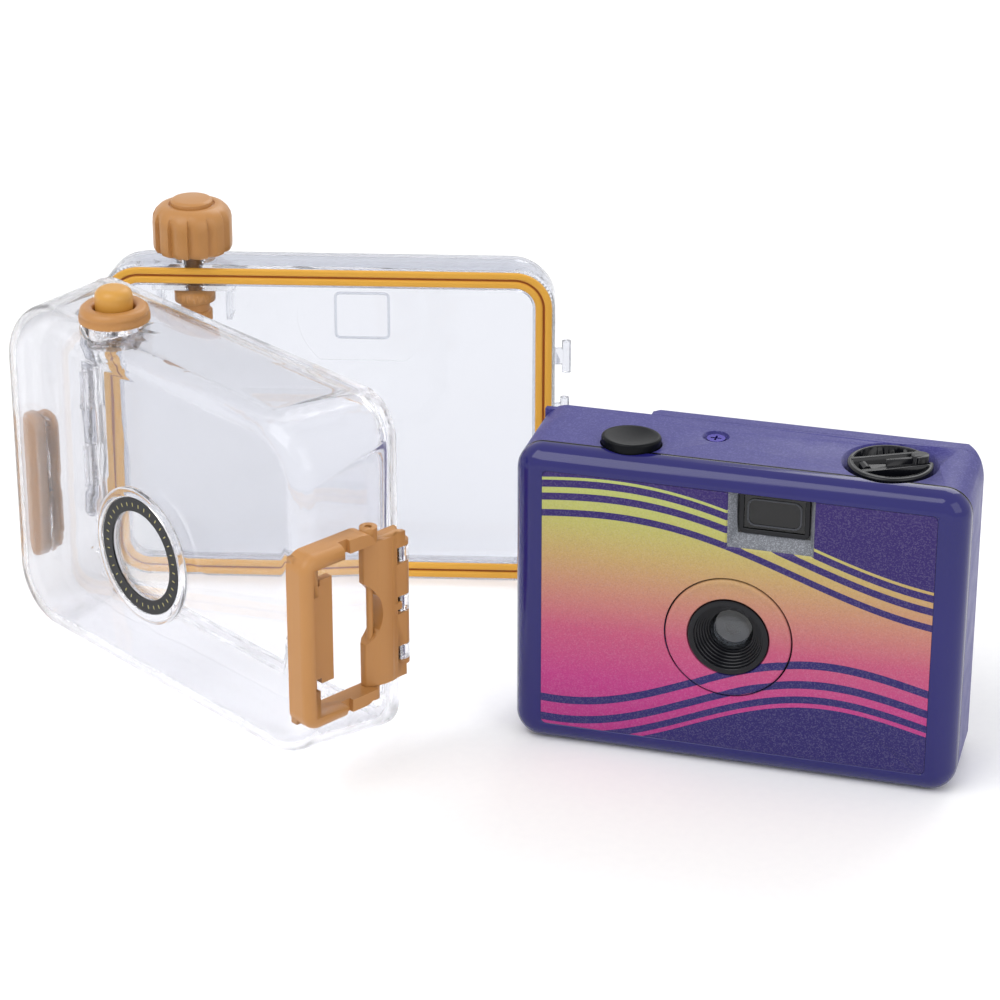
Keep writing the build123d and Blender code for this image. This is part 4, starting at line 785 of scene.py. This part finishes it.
@dataclass
class Band(NodeShape):
    """A moulded bead swept once round a rounded rectangle."""

    width: float
    height: float
    corner: float
    bead_width: float
    bead_height: float
    rounding: float
    corner_points: int = 14
    rounding_points: int = 3

    def wire(self, add: Adder, size: Sequence[NodeSocket]) -> Node:
        """Rounds the path and the bead's section, and sweeps one along the other.

        Args:
            add: adds a node to the tree.
            size: the sockets of the named sizes, and of the outline as Geometry.

        Returns:
            The node whose first output is the shape.
        """
        curves = []
        for names in (("Width", "Height", "Corner", "Corner Points"),
                      ("Bead Width", "Bead Height", "Rounding", "Rounding Points")):
            wide, tall, corner, points = (size[name] for name in names)
            box = add("CurvePrimitiveQuadrilateral", {"Width": wide, "Height": tall})
            curves.append(add("FilletCurve", {"Curve": box, "Radius": corner, "Count": points}, mode="POLY"))
        upright = add("SetCurveNormal", {"Curve": curves[0]}, mode="Z_UP")
        return add("CurveToMesh", {"Curve": upright, "Profile Curve": curves[1]})


@dataclass
class TickRing(NodeShape):
    """Short bars set evenly round a circle, each pointing at its middle."""

    count: int
    radius: float
    bar_length: float
    bar_width: float
    bar_height: float

    def wire(self, add: Adder, size: Sequence[NodeSocket]) -> Node:
        """Sets a bar on each point of a circle.

        Args:
            add: adds a node to the tree.
            size: the sockets of the named sizes, and of the outline as Geometry.

        Returns:
            The node whose first output is the shape.
        """
        circle = add("MeshCircle", {"Vertices": size["Count"], "Radius": size["Radius"]})
        solid = add("CombineXYZ", {0: size["Bar Length"], 1: size["Bar Width"], 2: size["Bar Height"]})
        bar = add("MeshCube", {"Size": solid})
        parts = add("SeparateXYZ", {0: add("InputPosition")})
        angle = add("Math", {0: parts.outputs[1], 1: parts.outputs[0]}, operation="ARCTAN2")
        turn = add("CombineXYZ", {2: angle})
        return add("InstanceOnPoints", {"Points": circle, "Instance": bar, "Rotation": turn})


@dataclass
class Screws(NodeShape):
    """Cross-head screws, one on each given place, with their heads up."""

    places: Sequence[Place]
    head_radius: float = 2.4
    head_height: float = 0.8
    slot_length: float = 2.8
    slot_width: float = 0.55
    slot_depth: float = 0.5
    shank_radius: float = 1.0
    shank_length: float = 5.8
    head_points: ClassVar[int] = 40
    shank_points: ClassVar[int] = 20

    def outline(self) -> list[Place]:
        """Gives the middle of each head's underside, in metres."""
        return [(x * MM, y * MM, z * MM) for x, y, z in self.places]

    def wire(self, add: Adder, size: Sequence[NodeSocket]) -> Node:
        """Cuts a cross into a head, hangs the shank under it and sets one on each place.

        Args:
            add: adds a node to the tree.
            size: the sockets of the named sizes, and of the outline as Geometry.

        Returns:
            The node whose first output is the shape.
        """
        parts = []
        for radius, depth, points, middle in (("Head Radius", "Head Height", self.head_points, 0.5),
                                              ("Shank Radius", "Shank Length", self.shank_points, -0.5)):
            disc = add("MeshCylinder", {"Vertices": points, "Radius": size[radius], "Depth": size[depth]})
            rise = add("Math", {0: size[depth], 1: middle}, operation="MULTIPLY")
            move = add("CombineXYZ", {2: rise})
            parts.append(add("Transform", {"Geometry": disc, "Translation": move}))
        head, shank = parts
        deep = add("Math", {0: size["Slot Depth"], 1: 2.0}, operation="MULTIPLY")
        top = add("CombineXYZ", {2: size["Head Height"]})
        for along, across in (("Slot Length", "Slot Width"), ("Slot Width", "Slot Length")):
            solid = add("CombineXYZ", {0: size[along], 1: size[across], 2: deep})
            bar = add("MeshCube", {"Size": solid})
            raised = add("Transform", {"Geometry": bar, "Translation": top})
            head = add("MeshBoolean", {"Mesh 1": head, "Mesh 2": raised}, operation="DIFFERENCE")
        screw = add("JoinGeometry", {0: head})
        plug(screw, {0: shank})
        return add("InstanceOnPoints", {"Points": size["Geometry"], "Instance": screw})


# Sub-assemblies

@dataclass
class Shells:
    """The camera's shells: glossy front, printed plate, lacquered rear."""

    # The box that holds the viewfinder's funnel.
    funnel_low: Place = (-3.6, -15.01, 61.8)
    funnel_high: Place = (22.6, -11.7, 79.5)
    # Radius and height: a rolled rim, then a shallow dish down to the barrel.
    bezel_profile: tuple[Point, ...] = (
        (10.6, -2.1), (16.25, -2.1), (16.25, 0.0), (16.15, 0.25), (15.9, 0.43), (15.5, 0.5), (15.1, 0.45),
        (14.6, 0.3), (14.0, 0.2), (12.5, 0.12), (11.2, 0.06), (10.85, 0.0), (10.6, -0.3), (10.6, -2.1))
    # The door ends 0.2 mm under the cover, so that it can swing.
    door_top: float = 65.8
    # The undersides of the screws' heads.
    top_screw: Place = (-9.9, 5.6, 82.3)
    base_screws: tuple[Place, ...] = ((-27.5, -5.0, 1.2), (14.0, -5.0, 1.2))

    def dress(self) -> None:
        """Gives the shells their gloss, lacquer and print."""
        cover = smooth_copy("front_cover", Stock.PURPLE_GLOSS)
        paint_within(cover, Stock.SILVER_INK, self.funnel_low, self.funnel_high)
        for node in ("rear_housing", "rear_top_cover"):
            smooth_copy(node, Stock.LAVENDER)
        door = smooth_copy("rear_door", Stock.LAVENDER)
        for vertex in door.data.vertices:
            vertex.co.z = min(vertex.co.z, self.door_top * MM)
        ink = PrintedFront("pearl_print_on_polycarbonate", "panel_print")
        smooth_copy("front_panel", ink)
        bezel = Turned("lens_bezel_rolled", ink, profile=self.bezel_profile, steps=128)
        bezel.make(shift(*LENS_PLACE, 90), "lens_bezel", ["lens_bezel"], angle=40.0)

    def build(self) -> None:
        """Makes the screws with their crosses."""
        top = Screws("top_screw_cross", Stock.SCREW, places=[self.top_screw])
        top.make(shift(0, 0, 0), "top_screw", ["top_screw"])
        low = [(x, -y, -z) for x, y, z in self.base_screws]
        base = Screws("base_screws_cross", Stock.STEEL, places=low, head_height=1.0, shank_length=7.2)
        base.make(shift(0, 0, 0, 180), "base_screws", ["base_screws"])


@dataclass
class Optics:
    """The lens barrel with its baffle steps, the glasses and the viewfinder with its two frames."""

    barrel_radius: float = 10.5
    barrel_depth: float = 7.0
    lip: float = 0.3
    baffles: int = 6
    glass_radius: float = 5.6
    glass_seat: float = -4.1
    finder: Place = (9.2, -12.0, 72.0)
    finder_width: float = 18.4
    finder_height: float = 12.0

    def barrel_profile(self) -> list[Point]:
        """Draws a rounded lip, then fine steps down to the glass.

        Returns:
            The barrel's outline.
        """
        inner = self.glass_radius - 1.0
        points = [(inner, -self.barrel_depth), (self.barrel_radius, -self.barrel_depth),
                  (self.barrel_radius, self.lip - 0.7), (self.barrel_radius - 0.15, self.lip - 0.2),
                  (self.barrel_radius - 0.6, self.lip), (self.barrel_radius - 1.5, self.lip)]
        start = self.barrel_radius - 1.6
        run = (start - self.glass_radius - 0.05) / self.baffles
        fall = (self.lip - self.glass_seat) / self.baffles
        for step in range(self.baffles):
            radius, height = start - step * run, self.lip - (step + 1) * fall
            points += [(radius, height + fall - 0.12), (radius - 0.1, height), (radius - run + 0.12, height)]
        seat = self.glass_seat - 0.7
        return points + [(self.glass_radius + 0.05, seat), (inner, seat), (inner, -self.barrel_depth)]

    def build(self) -> None:
        """Turns the barrel and frames the viewfinder."""
        barrel = Turned("lens_barrel_stepped", Stock.BLACK_GLOSS, profile=self.barrel_profile())
        barrel.make(shift(*LENS_PLACE, 90), "lens_barrel", ["lens_barrel"], angle=25.0)
        x, y, z = self.finder
        for name, finish, inset, bead, proud in (
                ("viewfinder_outer_frame", Stock.BLACK_GLOSS, 0.15, 1.3, 0.5),
                ("viewfinder_inner_frame", Stock.GREY_FRAME, 2.2, 0.5, 0.25)):
            edge = 2 * inset + bead
            rim = Band(name, finish, width=self.finder_width - edge, height=self.finder_height - edge,
                       corner=0.8 + inset / 2, bead_width=bead, bead_height=proud, rounding=bead / 5)
            rim.make(shift(x, y - proud / 2, z, 90), "viewfinder_window")

    def dress(self) -> None:
        """Gives the glasses and the viewfinder their finishes."""
        for node in ("front_lens", "rear_lens", "eyepiece_lens"):
            smooth_copy(node, Stock.LENS)
        smooth_copy("viewfinder_window", Stock.SMOKED)
        for node in ("viewfinder_tunnel", "shutter_plate"):
            dress(node, Stock.BLACK_MATTE)
        dress("shutter_blade", Stock.BLACKED)
        dress("blade_pin", Stock.STEEL)


@dataclass
class Mechanism:
    """What winds, counts, fires and rewinds, with the chassis that carries it."""

    counter: tuple[float, float] = (-13.0, 5.0)
    counter_face: float = 2.1
    counter_ticks: int = 38
    spring_seat: float = 60.0
    spring_free: float = 21.2
    button_travel: float = 1.8

    def dress(self) -> None:
        """Gives the moving pieces and the chassis their finishes."""
        for node in ("chassis", "pressure_plate", "takeup_spool", "sprocket", "rewind_fork"):
            dress(node, Stock.BLACK_MATTE)
        for node in ("counter_dial", "door_latch", "rewind_release"):
            smooth_copy(node, Stock.BLACK_MATTE)
        smooth_copy("shutter_button", Stock.BLACK_SATIN)
        for node in ("rewind_knob", "rewind_crank", "thumbwheel"):
            smooth_copy(node, Stock.BLACK_GLOSS)
        squeeze(smooth_copy("button_spring", Stock.STEEL))
        for node in ("pressure_spring", "crank_pin", "door_hinge_pin"):
            dress(node, Stock.STEEL)
        smooth_copy("counter_window", Stock.SMOKED)

    def build(self) -> None:
        """Prints the frame ticks on the counter dial, which is read from below."""
        ticks = TickRing("counter_dial_ticks", Stock.WHITE_INK, count=self.counter_ticks, radius=6.9,
                         bar_length=1.6, bar_width=0.28, bar_height=0.06)
        ticks.make(shift(*self.counter, self.counter_face - 0.02), "counter_dial")


@dataclass
class CaseShells:
    """The two clear halves with the gasket and the hinge pin."""

    width: float = 128.5
    height: float = 96.5
    corner: float = 11.5
    hinge_offset: float = 3.0
    back_rim: float = 0.7
    gasket_inset: float = 0.8
    gasket_width: float = 4.7
    gasket_proud: float = 1.0
    pad: Place = (76.15, 12.0, 77.5)
    pad_width: float = 15.2
    pad_height: float = 13.6

    def dress(self) -> None:
        """Gives the halves their clear plastic; they let the lamps through, as clear plastic does."""
        for node, finish in (("case_front_shell", Stock.CLEAR_CASE), ("case_back_shell", Stock.CLEAR_BACK)):
            smooth_copy(node, finish).visible_shadow = False
        dress("hinge_pin", Stock.STEEL)

    def build(self) -> None:
        """Moulds the gasket, two rounded beads over a groove's floor, and the viewing pad's raised rim."""
        bead, ring = self.gasket_width / 2 - 0.3, self.gasket_inset
        front, back = self.back_rim - self.gasket_proud, self.back_rim + 0.1
        # How far each lies inside the case's outline, how wide it is, and where its front is.
        for name, finish, inset, wide, fore, rounding, replaced in (
                ("gasket_outer_bead", Stock.SILICONE, ring, bead, front, 0.6, ["case_gasket"]),
                ("gasket_inner_bead", Stock.SILICONE, ring + self.gasket_width - bead, bead, front, 0.6, []),
                # The groove's floor is in the silicone with painted shade.
                ("gasket_groove", Stock.SILICONE_GROOVE, ring + 0.3, self.gasket_width - 0.6, front + 0.6,
                 0.1, [])):
            middle = inset + wide / 2
            shape = Band(name, finish, width=self.width - 2 * middle, height=self.height - 2 * middle,
                         corner=self.corner - middle, bead_width=wide, bead_height=back - fore,
                         rounding=rounding)
            place = shift(self.hinge_offset + self.width / 2, (fore + back) / 2, self.height / 2, 90)
            shape.make(BACK_HALF @ place, "case_gasket", replaced, angle=40.0)
        rim = Band("viewing_pad_rim", Stock.CLEAR_EDGE, width=self.pad_width, height=self.pad_height,
                   corner=1.3, bead_width=0.7, bead_height=0.5, rounding=0.15)
        rim.make(BACK_HALF @ shift(*self.pad, 90), "case_back_shell").visible_shadow = False


@dataclass
class CaseWindow:
    """The flat window in the front half and its black ring with gold marks."""

    # The middle of the ring's seat, counted from the hinge.
    seat: Place = (65.75, -33.2, 40.3)
    marks: int = 36
    ring_outer: float = 16.3
    ring_inner: float = 12.5
    ring_face: float = 0.8

    def dress(self) -> None:
        """Gives the window and the ring their finishes."""
        smooth_copy("lens_window", Stock.CLEAR_WINDOW).visible_shadow = False
        smooth_copy("window_ring", Stock.BLACK_GLOSS)

    def build(self) -> None:
        """Prints a row of gold marks on the ring."""
        middle = (self.ring_outer + self.ring_inner) / 2
        ticks = TickRing("window_ring_marks", Stock.GOLD_INK, count=self.marks, radius=middle, bar_length=1.0,
                         bar_width=0.3, bar_height=0.04)
        ticks.make(FRONT_HALF @ shift(*self.seat, 90) @ shift(0, 0, self.ring_face), "window_ring")


@dataclass
class CaseFittings:
    """The tan fittings: plunger, clip, latch and winding knob."""

    # The winding axis, counted from the hinge.
    axis: Place = (29.2, 6.9, 0.0)
    knob_low: float = 99.11
    knob_high: float = 112.7
    knob_radius: float = 11.2
    knob_lobes: int = 12
    shaft_radius: float = 2.6
    wheel_low: float = 77.5
    wheel_high: float = 83.7
    wheel_radius: float = 4.8
    spring_seat: float = 92.5
    spring_free: float = 3.4
    plunger_travel: float = 2.2

    def dress(self) -> None:
        """Gives the fittings their tan plastic, rubber and steel."""
        smooth_copy("shutter_plunger", Stock.AMBER)
        for node in ("shutter_bezel", "strap_clip", "latch_lever", "latch_loop", "loop_pin", "winding_shaft"):
            smooth_copy(node, Stock.TAN)
        for node in ("shaft_seal", "plunger_seal"):
            dress(node, Stock.RUBBER)
        squeeze(smooth_copy("plunger_spring", Stock.STEEL))
        dress("lever_pin", Stock.STEEL)

    def build(self) -> None:
        """Moulds the fluted knob and the knurled wheel by their rules."""
        place = BACK_HALF @ shift(*self.axis)
        r, low, high = self.knob_radius, self.knob_low, self.knob_high
        dome = [(r - 0.25, high - 3.2), (r - 0.9, high - 1.9), (r - 2.0, high - 0.8), (r - 3.3, high - 0.2),
                (r - 4.2, high), (6.5, high - 0.1), (6.2, high - 0.45), (5.95, high - 0.3),
                (5.85, high + 0.8), (5.4, high + 1.25), (4.6, high + 1.4), (0.0, high + 1.4)]
        outline = [(0.0, low + 3.0), (self.shaft_radius, low + 3.0), (self.shaft_radius, low),
                   (r - 1.5, low), (r - 0.5, low + 0.4), (r - 0.1, low + 1.2), (r, low + 2.4)]
        outline += [(r, low + 2.4 + step * (high - low - 7.0) / 6) for step in range(1, 7)] + dome
        knob = Turned("winding_knob_fluted", Stock.TAN, profile=outline, steps=self.knob_lobes * 16,
                      flutes=self.knob_lobes, flute_depth=1.15, flute_share=0.5, flute_high=high - 5.2,
                      flute_fade=4.6, flute_from=self.shaft_radius + 2)
        knob.make(place, "winding_knob", ["winding_knob"], angle=36.0)
        low, high, r = self.wheel_low, self.wheel_high, self.wheel_radius
        middle = (low + high) / 2
        ring = [(self.shaft_radius, low), (r - 0.4, low), (r, low + 0.4), (r, middle),
                (r - 0.3, middle + 0.3), (r - 0.7, middle + 0.4), (r - 0.7, high - 0.3), (r - 1.0, high),
                (self.shaft_radius, high), (self.shaft_radius, low)]
        wheel = Turned("winding_wheel_knurled", Stock.TAN, profile=ring, steps=216, flutes=36,
                       flute_depth=0.4, flute_share=0.6, flute_high=middle + 0.2, flute_fade=0.1,
                       flute_from=r - 0.6)
        wheel.make(place, "winding_wheel", ["winding_wheel"], angle=25.0)


@dataclass
class Studio:
    """The pale floor, the soft lamps and the view of the photograph; its lengths are in metres."""

    floor_size: float = 6.0
    # Patches of the paper to the millimetre.
    floor_grain: float = 0.4
    # The level of the surround's light on the object; with the lamps, colours render as they are written.
    light_level: float = 0.75
    # Each lamp's name, place, side and power in watts.
    lamps: tuple[tuple[str, Place, float, float], ...] = (
        ("key_lamp", (-0.7, -0.9, 1.5), 1.3, 15.0), ("fill_lamp", (1.2, -0.8, 0.9), 1.1, 5.0),
        ("rim_lamp", (0.2, 1.3, 1.2), 1.0, 8.0))
    lamp_aim: Place = (-0.07, 0.02, 0.05)
    view_place: Place = (0.1357, -0.7053, 0.4025)
    azimuth: float = 15.93
    elevation: float = 21.64
    lens_mm: float = 111.56
    shift_y: float = -0.18

    def build(self) -> None:
        """Makes the floor, the world, the lamps and the view."""
        self.make_floor()
        self.make_world()
        self.hang_lamps()
        self.make_view()
        bpy.context.scene.view_settings.view_transform = "Standard"

    def make_floor(self) -> None:
        """Lays the pale floor, which looks white but still takes the shadow."""
        half = self.floor_size / 2
        corners = [(x * half, y * half, 0) for x, y in ((-1, -1), (1, -1), (1, 1), (-1, 1))]
        mesh = bpy.data.meshes.new("studio_floor")
        mesh.from_pydata(corners, [], [(0, 1, 2, 3)])
        floor = link_piece("studio_floor", mesh)
        material, add, shader, point = new_material("matt_white_paper")
        grain = add("TexNoise", {"Vector": point, "Scale": self.floor_grain})
        colour = add("Mix", {0: grain, 6: "#FAFAFA", 7: "#F6F6F7"}, data_type="RGBA")
        plug(shader, {"Base Color": colour.outputs[2], "Roughness": 0.9, "Specular IOR Level": 0.1})
        mesh.materials.append(material)

    def make_world(self) -> None:
        """Makes a white surround for the eye and for reflections, with a plain level of light."""
        world = bpy.data.worlds.new("studio_surround")
        bpy.context.scene.world = world
        world.use_nodes = True
        world.node_tree.nodes.clear()
        add = partial(add_node, world.node_tree)
        path = add("LightPath")
        seen = path.outputs["Is Camera Ray"]
        for ray in ("Is Transmission Ray", "Is Glossy Ray"):
            seen = add("Math", {0: seen, 1: path.outputs[ray]}, operation="MAXIMUM")
        lit = add("Background", {"Color": (1, 1, 1, 1), "Strength": self.light_level})
        white = add("Background", {"Color": (1, 1, 1, 1), "Strength": 1.0})
        mixed = add("MixShader", {0: seen, 1: lit, 2: white})
        add("OutputWorld", {0: mixed})

    def hang_lamps(self) -> None:
        """Hangs the soft lamps so that they face the part."""
        for name, place, side, power in self.lamps:
            data = bpy.data.lights.new(name, "AREA")
            data.size, data.energy = side, power
            hung = link_piece(name, data)
            hung.location = place
            hung.rotation_euler = (Vector(self.lamp_aim) - Vector(place)).to_track_quat("-Z", "Y").to_euler()

    def make_view(self) -> None:
        """Sets up the camera as the photograph was taken."""
        data = bpy.data.cameras.new("photo_view")
        data.sensor_fit = "HORIZONTAL"
        data.sensor_width = 36.0
        data.lens = self.lens_mm
        data.shift_y = self.shift_y
        data.clip_start = 0.01
        view = link_piece("photo_view", data)
        view.location = self.view_place
        turn = Matrix.Rotation(math.radians(self.azimuth), 4, "Z")
        tilt = Matrix.Rotation(math.radians(90.0 - self.elevation), 4, "X")
        view.rotation_euler = (turn @ tilt).to_euler()
        bpy.context.scene.camera = view


def main() -> None:
    """Builds and dresses every sub-assembly."""
    logging.basicConfig(level=logging.INFO, format="%(name)s: %(message)s")
    for assembly in (Shells(), Optics(), Mechanism(), CaseShells(), CaseWindow(), CaseFittings()):
        assembly.dress()
        assembly.build()
    Studio().build()


if __name__ == "__main__":
    main()
